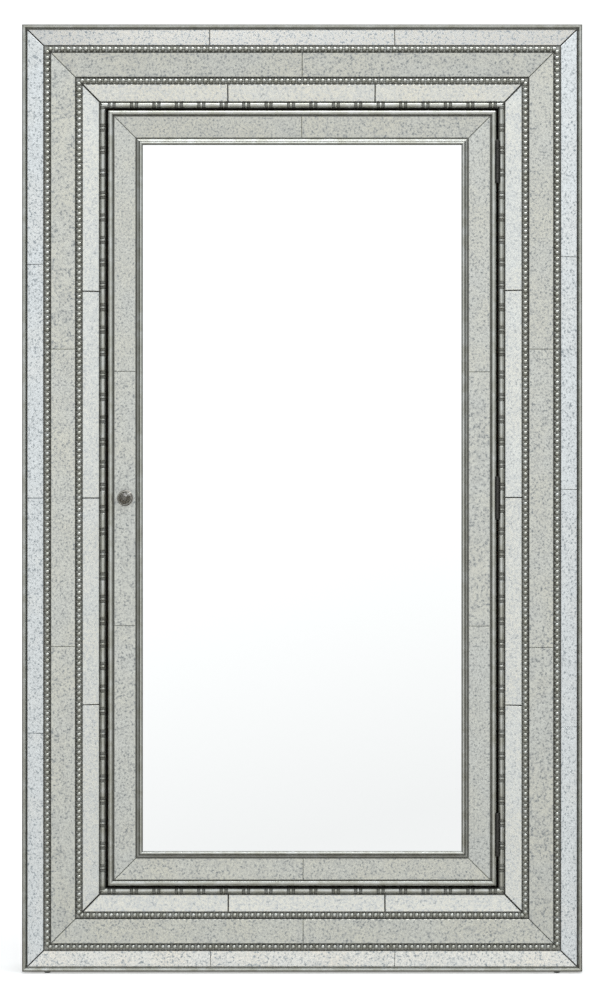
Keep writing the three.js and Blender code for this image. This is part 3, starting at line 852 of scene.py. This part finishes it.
class FLOORMIRROR_OT_pearl_mouldings(bpy.types.Operator):
    """Makes the two bead mouldings, with a string of pearls on each"""

    bl_idname = "floor_mirror.pearl_mouldings"
    bl_label = "Pearl Mouldings"

    def execute(self, context):
        sizes = context.scene.floor_mirror_sizes
        finishes = context.scene.floor_mirror_finishes
        radius = sizes.pearl / 2
        neck = 1.6 * MM
        turn = np.linspace(0, math.pi, 8)

        for node in ("outer_bead_moulding", "inner_bead_moulding"):
            spacing = {}

            # The last pearl stands half a pitch from the mitre, which cuts a little off it.
            def layout(clear):
                span = 2 * clear - sizes.pearl_pitch
                count = round(span / sizes.pearl_pitch) + 1
                pitch = span / (count - 1)
                spacing.update(count=count, pitch=pitch)
                middles = (np.arange(count) - (count - 1) / 2) * pitch
                return (middles[:, None] - radius * np.cos(turn)).ravel()

            def radius_at(runs):
                half = (spacing["count"] - 1) / 2
                nearest = np.clip(np.round(runs / spacing["pitch"] + half), 0, 2 * half) - half
                away = np.abs(runs - nearest * spacing["pitch"])
                return np.maximum(np.sqrt(np.maximum(radius**2 - away**2, 0)), neck)

            outer, inner, back, crest = ring_section(node)
            track = ((outer + inner) / 2, crest + 6.6 * MM, 0.12)
            strung_moulding(
                f"{node}_pearls", node, radius, radius_at, np.zeros_like, layout, track, finishes
            )
        return {"FINISHED"}


class FLOORMIRROR_OT_reel_moulding(bpy.types.Operator):
    """Makes the bead-and-reel moulding beside the door"""

    bl_idname = "floor_mirror.reel_moulding"
    bl_label = "Bead and Reel Moulding"

    def execute(self, context):
        sizes = context.scene.floor_mirror_sizes
        finishes = context.scene.floor_mirror_finishes
        pitch = sizes.reel_pitch
        largest = 6.2 * MM
        neck = 4.4 * MM
        disc_place = 5.1 * MM
        disc_half = 2.6 * MM
        # One repeat: a long bead, and between two long ones a reel of disc, pearl and disc.
        # Each is its place in the repeat, half length, radius and squareness.
        turnings = [
            (0.0, 15.9 * MM, 5.9 * MM, 18.0),
            (0.5 * pitch - disc_place, disc_half, 5.7 * MM, 4.0),
            (0.5 * pitch, 2.3 * MM, 6.2 * MM, 6.0),
            (0.5 * pitch + disc_place, disc_half, 5.7 * MM, 4.0),
        ]

        def place_in_repeat(runs):
            return (runs + pitch / 3) % pitch - pitch / 3

        def radius_at(runs):
            place = place_in_repeat(runs)
            radius = np.full(runs.shape, neck)
            for middle, half, size, square in turnings:
                share = np.clip(np.abs(place - middle) / half, 0, 1)
                radius = np.maximum(radius, size * (1 - share**square) ** (1 / square))
            return radius

        def dulled_at(runs):
            """The discs are made darker than what is between them."""
            off_pearl = np.abs(place_in_repeat(runs) - pitch / 2)
            return np.where(np.abs(off_pearl - disc_place) < disc_half, 0.7, 0.0)

        def layout(clear):
            end = clear + 2 * largest
            return np.linspace(-end, end, int(2 * end / (0.75 * MM)) | 1)

        node = "bead_and_reel_moulding"
        outer, inner, back, crest = ring_section(node)
        # The string lies against the door's side of its track, and a groove is left outside it.
        track = (inner + largest + 0.2 * MM, crest + largest, 0.8)
        strung_moulding(f"{node}_turned", node, largest, radius_at, dulled_at, layout, track, finishes)
        return {"FINISHED"}


# ---- Frame, case and cabinet ----


def colour_node(node, material):
    """Gives a carried-over CAD node its finish."""
    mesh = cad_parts[node].data
    mesh.materials.clear()
    mesh.materials.append(material)


class FLOORMIRROR_OT_case(bpy.types.Operator):
    """Makes the case, the cabinet box, the door panel and the frame's substrate"""

    bl_idname = "floor_mirror.case"
    bl_label = "Case and Cabinet Boards"

    def execute(self, context):
        sizes = context.scene.floor_mirror_sizes
        finishes = context.scene.floor_mirror_finishes
        upright = brushed_paint("brushed_paint_upright", list(finishes.paint), "Z")
        level = brushed_paint("brushed_paint_level", list(finishes.paint), "X")
        dark = shade_black_fibreboard()
        # The frame's substrate shows only in the crevices, and is made near-black there as painted shade.
        for node in ("stile_left", "stile_right", "rail_top", "rail_bottom"):
            colour_node(f"frame_{node}", dark)

        boards = {
            "case_side_left": (upright, CABINET, "case_paint"),
            "case_side_right": (upright, CABINET, "case_paint"),
            "case_top": (level, CABINET, "case_paint"),
            "case_bottom": (level, CABINET, "case_paint"),
            "cabinet_wall_left": (upright, CABINET, "cabinet_paint"),
            "cabinet_wall_right": (upright, CABINET, "cabinet_paint"),
            "cabinet_floor": (level, CABINET, "cabinet_paint"),
            "cabinet_ceiling": (level, CABINET, "cabinet_paint"),
            "door_panel": (upright, DOOR, "cabinet_paint"),
        }
        edge = 2 * sizes.board_edge
        for node, (material, body, slot) in boards.items():
            low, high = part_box(node)
            bm = bmesh.new()
            add_board(bm, low, high, sizes.board_edge)
            # What shows in the gap round the door is made near-black as painted shade: the front
            # edges of the cabinet box, and all of the door's panel but its back.
            painted_from = high.y - edge if body == DOOR else low.y + edge
            for face in bm.faces:
                if not node.startswith("case_") and face.calc_center_median().y < painted_from:
                    face.material_index = 1
            finish_piece(f"{node}_board", bm, [material, dark], body, slot, [node])
        return {"FINISHED"}


class FLOORMIRROR_OT_back(bpy.types.Operator):
    """Makes the back panel with its screws and the lining board inside"""

    bl_idname = "floor_mirror.back"
    bl_label = "Back Panel and Lining"

    def execute(self, context):
        finishes = context.scene.floor_mirror_finishes
        low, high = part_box("back_panel")
        head = 0.7 * MM
        bm = bmesh.new()
        add_board(bm, low, (high.x, high.y - head, high.z), 0.8 * MM)
        board = raw_hardboard()
        finish_piece("back_panel_board", bm, [board], CABINET, "hardboard", ["back_panel"])

        # Pan-head screws round the edge, into the case.
        radius = 3.6 * MM
        inset = 9 * MM
        profile = [
            (-2 * MM, radius * 0.6), (-0.2 * MM, radius), (0.1 * MM, radius),
            (head * 0.7, radius * 0.8), (head, radius * 0.45), (head, 0),
        ]
        places = []
        across = high.x - low.x - 2 * inset
        upward = high.z - low.z - 2 * inset
        for share in np.linspace(0, 1, 6):
            places += [(low.x + inset + share * across, z) for z in (low.z + inset, high.z - inset)]
        for share in np.linspace(0, 1, 10)[1:-1]:
            places += [(x, low.z + inset + share * upward) for x in (low.x + inset, high.x - inset)]
        shells = [turned(profile, (x, high.y - head, z), (0, 1, 0), 16) for x, z in places]
        steel = shared(zinc_plated_steel)
        finish_piece("back_panel_screws", bmesh_of(shells), [steel], CABINET, "steel")

        # Thin board covered with cloth, on the back panel between the cabinet's walls.
        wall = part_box("cabinet_wall_right")[0].x
        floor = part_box("cabinet_floor")[1].z
        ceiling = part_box("cabinet_ceiling")[0].z
        clear = 0.5 * MM
        bm = bmesh.new()
        add_board(
            bm,
            (-wall + clear, low.y - 0.27 * MM, floor + clear),
            (wall - clear, low.y - 0.03 * MM, ceiling - clear),
            0.05 * MM,
        )
        cloth = woven_lining(list(finishes.lining))
        finish_piece("lining_board", bm, [cloth], CABINET, "lining")
        return {"FINISHED"}


class FLOORMIRROR_OT_glides(bpy.types.Operator):
    """Makes the four nailed glides that the cabinet stands on"""

    bl_idname = "floor_mirror.glides"
    bl_label = "Glides"

    def execute(self, context):
        nylon = moulded_nylon()
        for end in ("front", "back"):
            for side in ("left", "right"):
                node = f"glide_{end}_{side}"
                low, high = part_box(node)
                radius = (high.x - low.x) / 2
                height = high.z - low.z
                angle = np.linspace(0, math.pi / 2, 6)
                curve = 2.4 * MM
                foot = [(curve * (1 - math.cos(a)), radius - curve * (1 - math.sin(a))) for a in angle]
                profile = [
                    (0, 0), (0, radius - curve - 1 * MM), *foot, (height, radius - 0.4 * MM), (height, 0),
                ]
                base = ((low.x + high.x) / 2, (low.y + high.y) / 2, low.z)
                shell = turned(profile, base, (0, 0, 1), 40)
                finish_piece(f"{node}_moulded", bmesh_of([shell]), [nylon], CABINET, "glide", [node])
        return {"FINISHED"}


# ---- Door ----


class FLOORMIRROR_OT_centre_mirror(bpy.types.Operator):
    """Makes the clear mirror in the middle of the door"""

    bl_idname = "floor_mirror.centre_mirror"
    bl_label = "Centre Mirror"

    def execute(self, context):
        low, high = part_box("centre_mirror")
        bm = bmesh.new()
        add_board(bm, low, high, 0.5 * MM)
        glass = silvered_float_glass()
        finish_piece(
            "centre_mirror_glass", bm, [glass], DOOR, "clear_mirror", ["centre_mirror"], smooth=None
        )
        return {"FINISHED"}


class FLOORMIRROR_OT_knob(bpy.types.Operator):
    """Makes the crystal pull knob, its base and its screw"""

    bl_idname = "floor_mirror.knob"
    bl_label = "Crystal Knob"

    def execute(self, context):
        low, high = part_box("knob_base")
        foot = ((low.x + high.x) / 2, high.y, (low.z + high.z) / 2)
        outward = (0, -1, 0)
        radius = (high.x - low.x) / 2
        reach_out = high.y - low.y
        neck = 6.3 * MM
        profile = [
            (0, 0), (0, radius - 0.4 * MM), (0.4 * MM, radius), (1.3 * MM, radius),
            (1.7 * MM, radius - 0.5 * MM), (1.8 * MM, radius - 1.4 * MM),
            (3.0 * MM, radius - 2.6 * MM), (3.3 * MM, radius - 5 * MM),
            (3.6 * MM, radius - 8 * MM), (4.6 * MM, neck + 0.6 * MM), (6 * MM, neck),
            (9 * MM, neck), (10 * MM, neck + 0.8 * MM), (10.8 * MM, neck + 2 * MM),
            (reach_out - 0.3 * MM, neck + 2.2 * MM), (reach_out, neck + 1.8 * MM), (reach_out, 0),
        ]
        plate = black_nickel()
        shell = turned(profile, foot, outward, 56)
        finish_piece("knob_base_turned", bmesh_of([shell]), [plate], DOOR, "nickel", ["knob_base"])

        # Rings of facets, each turned half a facet from the one below: a cut globe.
        low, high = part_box("knob_crystal")
        crest = high.y - low.y
        full = (high.x - low.x) / 2
        rings = [
            (0.0, 0.47), (0.12, 0.76), (0.3, 0.95), (0.47, 1.0), (0.66, 0.9), (0.84, 0.68), (1.0, 0.36),
        ]
        facets = 12
        bm = bmesh.new()
        loops = []
        for i, (height, size) in enumerate(rings):
            turn = (i % 2) * math.pi / facets
            loop = []
            for k in range(facets):
                angle = turn + 2 * math.pi * k / facets
                loop.append(bm.verts.new((
                    foot[0] + full * size * math.cos(angle),
                    high.y - height * crest,
                    foot[2] + full * size * math.sin(angle),
                )))
            loops.append(loop)
        bm.faces.new(loops[0])
        bm.faces.new(loops[-1])
        for i in range(len(loops) - 1):
            below, above = loops[i], loops[i + 1]
            for k in range(facets):
                ahead = (k + 1) % facets
                if i % 2 == 0:
                    bm.faces.new((below[k], below[ahead], above[k]))
                    bm.faces.new((below[ahead], above[ahead], above[k]))
                else:
                    bm.faces.new((below[k], below[ahead], above[ahead]))
                    bm.faces.new((below[k], above[ahead], above[k]))
        crystal = cut_crystal()
        finish_piece("knob_crystal_cut", bm, [crystal], DOOR, "crystal", ["knob_crystal"], smooth=None)

        # A truss head behind the door, and the shank into the base.
        low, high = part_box("knob_screw")
        head = (high.x - low.x) / 2
        shank = 2 * MM
        profile = [
            (0, 0), (0, 1.2 * MM), (0.3 * MM, 2.6 * MM), (1.0 * MM, head - 0.5 * MM), (1.6 * MM, head),
            (2.2 * MM, head), (2.2 * MM, shank), (high.y - low.y, shank), (high.y - low.y, 0),
        ]
        shell = turned(profile, (foot[0], high.y, foot[2]), outward, 28)
        steel = shared(zinc_plated_steel)
        finish_piece("knob_screw_turned", bmesh_of([shell]), [steel], DOOR, "steel", ["knob_screw"])
        return {"FINISHED"}


class FLOORMIRROR_OT_hinges(bpy.types.Operator):
    """Makes the three butt hinges: two leaves and a tipped pin each"""

    bl_idname = "floor_mirror.hinges"
    bl_label = "Butt Hinges"

    def execute(self, context):
        bronze = shared(dark_bronze)
        knuckles = 5
        gap = 0.3 * MM
        for name in ("bottom", "middle", "top"):
            pin_low, pin_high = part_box(f"hinge_{name}_pin")
            pin = (pin_low + pin_high) / 2
            leaf_low, leaf_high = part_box(f"hinge_{name}_frame_leaf")
            outer = pin.y - leaf_low.y
            height = leaf_high.z - leaf_low.z
            pitch = height / knuckles
            for leaf, body, own in (("frame", CABINET, (0, 2, 4)), ("door", DOOR, (1, 3))):
                node = f"hinge_{name}_{leaf}_leaf"
                points = node_points(node)
                plate = points[points[:, 1] > pin.y + 2 * outer]
                (x0, _, z0), (x1, y1, z1) = plate.min(axis=0), plate.max(axis=0)
                bm = bmesh.new()
                add_board(bm, (x0, pin.y + outer + gap, z0), (x1, y1, z1), 0.3 * MM)
                shells = []
                for index in own:
                    middle = z0 + (index + 0.5) * pitch
                    half = (pitch - gap) / 2
                    root = pin.y + outer - 1.2 * MM
                    add_board(bm, (x0, root, middle - half), (x1, root + 3 * MM, middle + half), 0.2 * MM)
                    shells.append(tube(outer, 1.75 * MM, 2 * half, (pin.x, pin.y, middle), 0.35 * MM))
                # Countersunk screws, their heads just proud of the leaf.
                face, outward = (x0, -1) if leaf == "frame" else (x1, 1)
                for share in (-0.36, 0.0, 0.36):
                    place = (face, (pin.y + outer + y1) / 2 + 1 * MM, (z0 + z1) / 2 + share * height)
                    head = [(-0.6 * MM, 1.4 * MM), (0, 2.6 * MM), (0.08 * MM, 2.3 * MM), (0.12 * MM, 0)]
                    shells.append(turned(head, place, (outward, 0, 0), 18))
                # The bore's tubes close round the axis, so they get no end caps.
                add_rings(bm, [s for s in shells if s.shape[1] == 6])
                bmesh_of([s for s in shells if s.shape[1] != 6], bm=bm)
                finish_piece(f"{node}_pressed", bm, [bronze], body, "bronze", [node])
            half = (pin_high.z - pin_low.z) / 2
            tip = 3.1 * MM
            stem = 1.5 * MM
            top = half - 2.1 * MM
            profile = [
                (-half, 0), (-half, 1.3 * MM), (-half + 0.5 * MM, 2.5 * MM), (-half + 1.2 * MM, tip),
                (-top, tip), (-top, stem), (top, stem), (top, tip),
                (half - 1.2 * MM, tip), (half - 0.5 * MM, 2.5 * MM), (half, 1.3 * MM), (half, 0),
            ]
            shell = turned(profile, pin, (0, 0, 1), 28)
            finish_piece(
                f"hinge_{name}_pin_tipped", bmesh_of([shell]), [bronze], CABINET, "bronze",
                [f"hinge_{name}_pin"],
            )
        return {"FINISHED"}


# ---- Fittings ----


class FLOORMIRROR_OT_catch(bpy.types.Operator):
    """Makes the magnetic catch and its strike plate"""

    bl_idname = "floor_mirror.catch"
    bl_label = "Magnetic Catch"

    def execute(self, context):
        low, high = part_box("magnet_catch")
        steel = shared(zinc_plated_steel)
        bm = bmesh.new()
        face = low.y + 1.2 * MM
        add_board(bm, (low.x, face, low.z), high, 1.5 * MM)
        # Two pole plates show at the front, with the magnet between them.
        for x in (low.x + 4 * MM, high.x - 6 * MM):
            corner = (x + 2 * MM, face + 2 * MM, high.z - 6 * MM)
            add_board(bm, (x, low.y, low.z + 6 * MM), corner, 0.3 * MM)
        for facet in bm.faces:
            if facet.calc_center_median().y < face - 0.1 * MM:
                facet.material_index = 1
        housing = shared(dark_bronze)
        finish_piece("magnet_catch_housing", bm, [housing, steel], CABINET, "bronze", ["magnet_catch"])

        low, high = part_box("catch_strike")
        bm = bmesh.new()
        plate = high.y - 0.3 * MM
        add_board(bm, low, (high.x, plate, high.z), 0.25 * MM)
        middle = (low.x + high.x) / 2
        heads = []
        for z in (low.z + 6 * MM, high.z - 6 * MM):
            profile = [(-0.4 * MM, 1.2 * MM), (0, 2.4 * MM), (0.2 * MM, 1.8 * MM), (0.28 * MM, 0)]
            heads.append(turned(profile, (middle, plate, z), (0, 1, 0), 20))
        bmesh_of(heads, bm=bm)
        finish_piece("catch_strike_pressed", bm, [steel], DOOR, "steel", ["catch_strike"])
        return {"FINISHED"}


class FLOORMIRROR_OT_fittings(bpy.types.Operator):
    """Makes the shelves, necklace rail, ring holder and earring rack"""

    bl_idname = "floor_mirror.fittings"
    bl_label = "Cabinet Fittings"

    def execute(self, context):
        finishes = context.scene.floor_mirror_finishes
        paint = bpy.data.materials["brushed_paint_level"]
        nickel = satin_nickel()

        board = 12 * MM
        lip = 8 * MM
        for name in ("upper", "lower"):
            node = f"shelf_{name}"
            low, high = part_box(node)
            corners = [
                (low.y, low.z), (high.y, low.z), (high.y, low.z + board),
                (low.y + lip, low.z + board), (low.y + lip, high.z), (low.y, high.z),
            ]
            shell = prism(rounded(corners, 2 * MM), low.x, high.x)
            finish_piece(f"{node}_routed", bmesh_of([shell]), [paint], CABINET, "cabinet_paint", [node])

        self.necklace_rail(nickel)
        self.earring_rack(nickel)
        self.ring_holder(short_velvet(list(finishes.velvet)), paint)
        return {"FINISHED"}

    def necklace_rail(self, nickel):
        low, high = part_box("necklace_rail")
        front = high.y - 10 * MM
        bm = bmesh.new()
        add_board(bm, (low.x, front, low.z), high, 1.5 * MM)
        pegs = 15
        pitch = 46 * MM
        reach_out = front - low.y
        profile = [
            (-1 * MM, 3.6 * MM), (0.8 * MM, 3.6 * MM), (1.6 * MM, 2.8 * MM), (2.2 * MM, 2.1 * MM),
            (reach_out - 9 * MM, 1.9 * MM), (reach_out - 7.5 * MM, 2.2 * MM),
            (reach_out - 6 * MM, 3.4 * MM), (reach_out - 4 * MM, 4.2 * MM),
            (reach_out - 2 * MM, 3.8 * MM), (reach_out - 0.5 * MM, 2.2 * MM), (reach_out, 0.5 * MM),
        ]
        middle = (low.z + high.z) / 2
        places = [(i - (pegs - 1) / 2) * pitch for i in range(pegs)]
        bmesh_of([turned(profile, (x, front, middle), (0, -1, 0), 20) for x in places], bm=bm)
        finish_piece("necklace_rail_pegged", bm, [nickel], CABINET, "nickel", ["necklace_rail"])

    def earring_rack(self, nickel):
        low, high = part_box("earring_rack")
        width = 18 * MM
        bm = bmesh.new()
        for x in (low.x, high.x - width):
            add_board(bm, (x, low.y, low.z), (x + width, high.y, high.z), 1.5 * MM)
        rods = 6
        margin = 30 * MM
        span = high.x - low.x - 2 * width
        shells = []
        for i in range(rods):
            z = low.z + margin + i * (high.z - low.z - 2 * margin) / (rods - 1)
            profile = [
                (-2 * MM, 2 * MM), (0, 2 * MM), (0, 3.4 * MM), (1.5 * MM, 3.4 * MM), (2 * MM, 2 * MM),
                (span - 2 * MM, 2 * MM), (span - 1.5 * MM, 3.4 * MM), (span, 3.4 * MM), (span, 2 * MM),
                (span + 2 * MM, 2 * MM),
            ]
            shells.append(turned(profile, (low.x + width, low.y + 8 * MM, z), (1, 0, 0), 20))
        bmesh_of(shells, bm=bm)
        finish_piece("earring_rack_rods", bm, [nickel], DOOR, "nickel", ["earring_rack"])

    def ring_holder(self, velvet, paint):
        low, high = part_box("ring_holder")
        rolls = 5
        tray = 4 * MM
        wall = 2 * MM
        bm = bmesh.new()
        add_board(bm, low, (high.x, high.y, low.z + tray), 0.8 * MM)
        rim = low.z + 11 * MM
        for x in (low.x, high.x - wall):
            add_board(bm, (x, low.y, low.z + 1 * MM), (x + wall, high.y, rim), 0.6 * MM)
        for y in (low.y, high.y - wall):
            add_board(bm, (low.x, y, low.z + 1 * MM), (high.x, y + wall, rim), 0.6 * MM)
        finish_piece("ring_holder_tray", bm, [paint], CABINET, "cabinet_paint", ["ring_holder"])

        # Foam rolls covered with velvet, close together, with crowned ends.
        pitch = (high.y - low.y - 2 * wall) / rolls
        across = np.linspace(0, 2 * math.pi, 24, endpoint=False)
        bottom = low.z + tray + 0.2 * MM
        rise = (high.z - bottom) / 2
        length_in = high.x - low.x - 2 * wall - 1 * MM
        share = np.sin(np.linspace(-math.pi / 2, math.pi / 2, 49))
        shells = []
        for i in range(rolls):
            middle = low.y + wall + (i + 0.5) * pitch
            size = np.maximum((1 - np.abs(share) ** 40) ** 0.5, 0.25)
            plump = 1 + 0.012 * np.sin(share * 31 + i * 1.7)
            x = np.broadcast_to((low.x + high.x) / 2 + share[:, None] * length_in / 2, (49, 24))
            y = middle + (pitch / 2 - 0.1 * MM) * size[:, None] * plump[:, None] * np.cos(across) * 0.985
            z = bottom + rise + rise * size[:, None] * plump[:, None] * np.sin(across) * 0.985
            shells.append(np.stack([x, y, z], axis=-1))
        bm = bmesh_of(shells)
        piece = finish_piece("ring_holder_rolls", bm, [velvet], CABINET, "velvet", ["ring_holder"])


# ---- Stage ----


class FLOORMIRROR_OT_stage(bpy.types.Operator):
    """Sets the camera, the pale floor and the studio light"""

    bl_idname = "floor_mirror.stage"
    bl_label = "Studio Stage"

    def execute(self, context):
        scene = context.scene
        scene.view_settings.view_transform = "Standard"
        self.camera(scene)
        self.floor(scene)
        self.light(scene)
        return {"FINISHED"}

    def camera(self, scene):
        """A long lens far off, level with the middle of the frame."""
        distance = 6.0
        filled = 948.3 / 997  # the share of the view's height that the frame takes
        height_seen = (EDGE_HIGH.z - EDGE_LOW.z) / filled
        data = bpy.data.cameras.new("camera")
        data.sensor_width = 36.0
        data.lens = data.sensor_width * distance / height_seen
        data.clip_end = 60.0
        camera = bpy.data.objects.new("camera", data)
        scene.collection.objects.link(camera)
        # The frame stands a little off the middle of the view.
        aside, lower = 4.6 * MM, 0.9 * MM
        camera.location = (-aside, EDGE_LOW.y - distance, MIDDLE_Z - lower)
        camera.rotation_euler = (math.pi / 2, 0, 0)
        scene.camera = camera

    def sheet(self, scene, name, corners, material):
        """A flat sheet of the studio."""
        mesh = bpy.data.meshes.new(name)
        mesh.from_pydata(corners, [], [(0, 1, 2, 3)])
        mesh.materials.append(material)
        made = bpy.data.objects.new(name, mesh)
        scene.collection.objects.link(made)
        return made

    def floor(self, scene):
        # White acrylic lit a little from below, as product tables are, so that it stays pale.
        material, tree, shader, place = new_material(
            "backlit_acrylic_floor",
            {"Roughness": 0.6, "Emission Color": linear("#ffffff"), "Emission Strength": 0.34},
        )
        mottle = add_node(tree, "TexNoise", {"Scale": 3.0, "Detail": 3.0}, {"Vector": place})
        face = add_node(
            tree, "Mix", {"data_type": "RGBA", 6: linear("#f2f2f1"), 7: linear("#f6f6f5")}, {0: mottle}
        )
        feed(shader, {"Base Color": face})
        half = 4.5  # metres from the middle to each edge
        corners = [(-half, -half, 0), (half, -half, 0), (half, half, 0), (-half, half, 0)]
        floor = self.sheet(scene, "studio_floor", corners, material)
        floor.visible_glossy = False

    def light(self, scene):
        self.tent(scene)
        # The second box is close above the middle of the frame: it whitens the upper side of
        # every pearl, and leans those highlights towards the middle. Each box has its width,
        # depth, power, place and the height on the frame that it is aimed at.
        boxes = {
            "key_softbox": (1.4, 0.8, 30.0, (2.3, -0.9, 4.3), MIDDLE_Z),
            "overhead_softbox": (1.4, 0.6, 10.0, (0.1, -0.65, 3.3), 1.7),
        }
        for name, (width, depth, power, place, aim_z) in boxes.items():
            data = bpy.data.lights.new(name, "AREA")
            data.shape = "RECTANGLE"
            data.size, data.size_y = width, depth
            data.energy = power
            light = bpy.data.objects.new(name, data)
            light.location = place
            toward = Vector((0, 0, aim_z)) - light.location
            light.rotation_euler = toward.to_track_quat("-Z", "Y").to_euler()
            scene.collection.objects.link(light)

        # A white card far in front, which the centre mirror reflects. It is lit less low down
        # and to one side.
        glow, tree, shader, place = new_material(
            "lit_white_card",
            {"Base Color": linear("#000000"), "Roughness": 1.0, "Emission Strength": 1.12},
        )
        dim = add_node(tree, "VectorMath", {"operation": "DOT_PRODUCT", 1: (0.1, 0, -0.36)}, {0: place})
        fade = add_node(tree, "MapRange", {"From Min": -0.38, "From Max": 0.25}, {"Value": dim})
        lit = add_node(
            tree, "Mix", {"data_type": "RGBA", 6: linear("#ffffff"), 7: linear("#ececec")}, {0: fade}
        )
        feed(shader, {"Emission Color": lit})
        corners = [(-3, -8, -1), (3, -8, -1), (3, -8, 5), (-3, -8, 5)]
        card = self.sheet(scene, "white_card", corners, glow)
        card.visible_camera = False

    def tent(self, scene):
        """A white tent of light with grey panels at both sides, behind, below and straight
        overhead, which is what gives the mouldings dark flanks. The light is cool from above
        and warm from below. The backdrop stays white."""
        world = bpy.data.worlds.new("studio_tent")
        world.use_nodes = True
        tree = world.node_tree
        background = tree.nodes["Background"]
        white = 1.12
        toward = add_node(tree, "TexCoord", out="Generated")
        way = add_node(tree, "SeparateXYZ", links={"Vector": toward}).node.outputs
        sideways = add_node(tree, "Math", {"operation": "ABSOLUTE"}, {0: way["X"]})
        # Each panel: what it reads, where it begins and is full, and its light there.
        panels = [
            (sideways, 0.3, 0.5, 0.78),
            (sideways, 0.68, 0.86, 0.4),
            (way["Z"], 0.66, 0.82, 1.15),
            (way["Z"], 0.92, 1.0, 0.5),
            (way["Y"], 0.05, 0.35, 0.78),
            (way["Z"], 0.02, -0.14, 0.56),
            (way["Z"], -0.74, -0.9, 0.15),
        ]
        level = add_node(tree, "Value")
        level.default_value = 1.0
        for source, begins, full, share in panels:
            panel = add_node(
                tree,
                "MapRange",
                {"interpolation_type": "SMOOTHSTEP", "From Min": begins, "From Max": full,
                 "To Min": 1.0, "To Max": share},
                {"Value": source},
            )
            level = add_node(tree, "Math", {"operation": "MULTIPLY"}, {0: level, 1: panel})
        backdrop = add_node(tree, "LightPath")
        shown = add_node(tree, "Math", {"operation": "MAXIMUM"}, {0: level, 1: backdrop})
        strength = add_node(tree, "Math", {"operation": "MULTIPLY", 1: white}, {0: shown})
        tree.links.new(strength, background.inputs["Strength"])
        above = add_node(tree, "MapRange", {"From Min": -0.12, "From Max": 0.12}, {"Value": way["Z"]})
        tint = add_node(
            tree, "Mix", {"data_type": "RGBA", 6: linear("#fffcf5"), 7: linear("#f8fcff")}, {0: above}
        )
        seen = add_node(tree, "Mix", {"data_type": "RGBA", 7: linear("#ffffff")}, {0: backdrop, 6: tint})
        tree.links.new(seen, background.inputs["Color"])
        scene.world = world


# ---- Add-on ----

OPERATORS = (
    FLOORMIRROR_OT_stage,
    FLOORMIRROR_OT_bands,
    FLOORMIRROR_OT_plain_mouldings,
    FLOORMIRROR_OT_pearl_mouldings,
    FLOORMIRROR_OT_reel_moulding,
    FLOORMIRROR_OT_case,
    FLOORMIRROR_OT_back,
    FLOORMIRROR_OT_glides,
    FLOORMIRROR_OT_centre_mirror,
    FLOORMIRROR_OT_knob,
    FLOORMIRROR_OT_hinges,
    FLOORMIRROR_OT_catch,
    FLOORMIRROR_OT_fittings,
)


class VIEW3D_PT_floor_mirror(bpy.types.Panel):
    """Lists the mirror's pieces, sizes and finishes"""

    bl_label = "Floor Mirror"
    bl_space_type = "VIEW_3D"
    bl_region_type = "UI"
    bl_category = "Floor Mirror"

    def draw(self, context):
        layout = self.layout
        for operator in OPERATORS:
            layout.operator(operator.bl_idname)
        for group in (context.scene.floor_mirror_sizes, context.scene.floor_mirror_finishes):
            for name in group.bl_rna.properties.keys():
                if name not in {"rna_type", "name"}:
                    layout.prop(group, name)


CLASSES = (FloorMirrorSizes, FloorMirrorFinishes, *OPERATORS, VIEW3D_PT_floor_mirror)


def register():
    for cls in CLASSES:
        bpy.utils.register_class(cls)
    bpy.types.Scene.floor_mirror_sizes = bpy.props.PointerProperty(type=FloorMirrorSizes)
    bpy.types.Scene.floor_mirror_finishes = bpy.props.PointerProperty(type=FloorMirrorFinishes)


def unregister():
    del bpy.types.Scene.floor_mirror_finishes
    del bpy.types.Scene.floor_mirror_sizes
    for cls in reversed(CLASSES):
        bpy.utils.unregister_class(cls)


def main():
    register()
    for operator in OPERATORS:
        getattr(bpy.ops.floor_mirror, operator.bl_idname.split(".")[1])()
    bpy.context.view_layer.update()


if __name__ == "__main__":
    main()
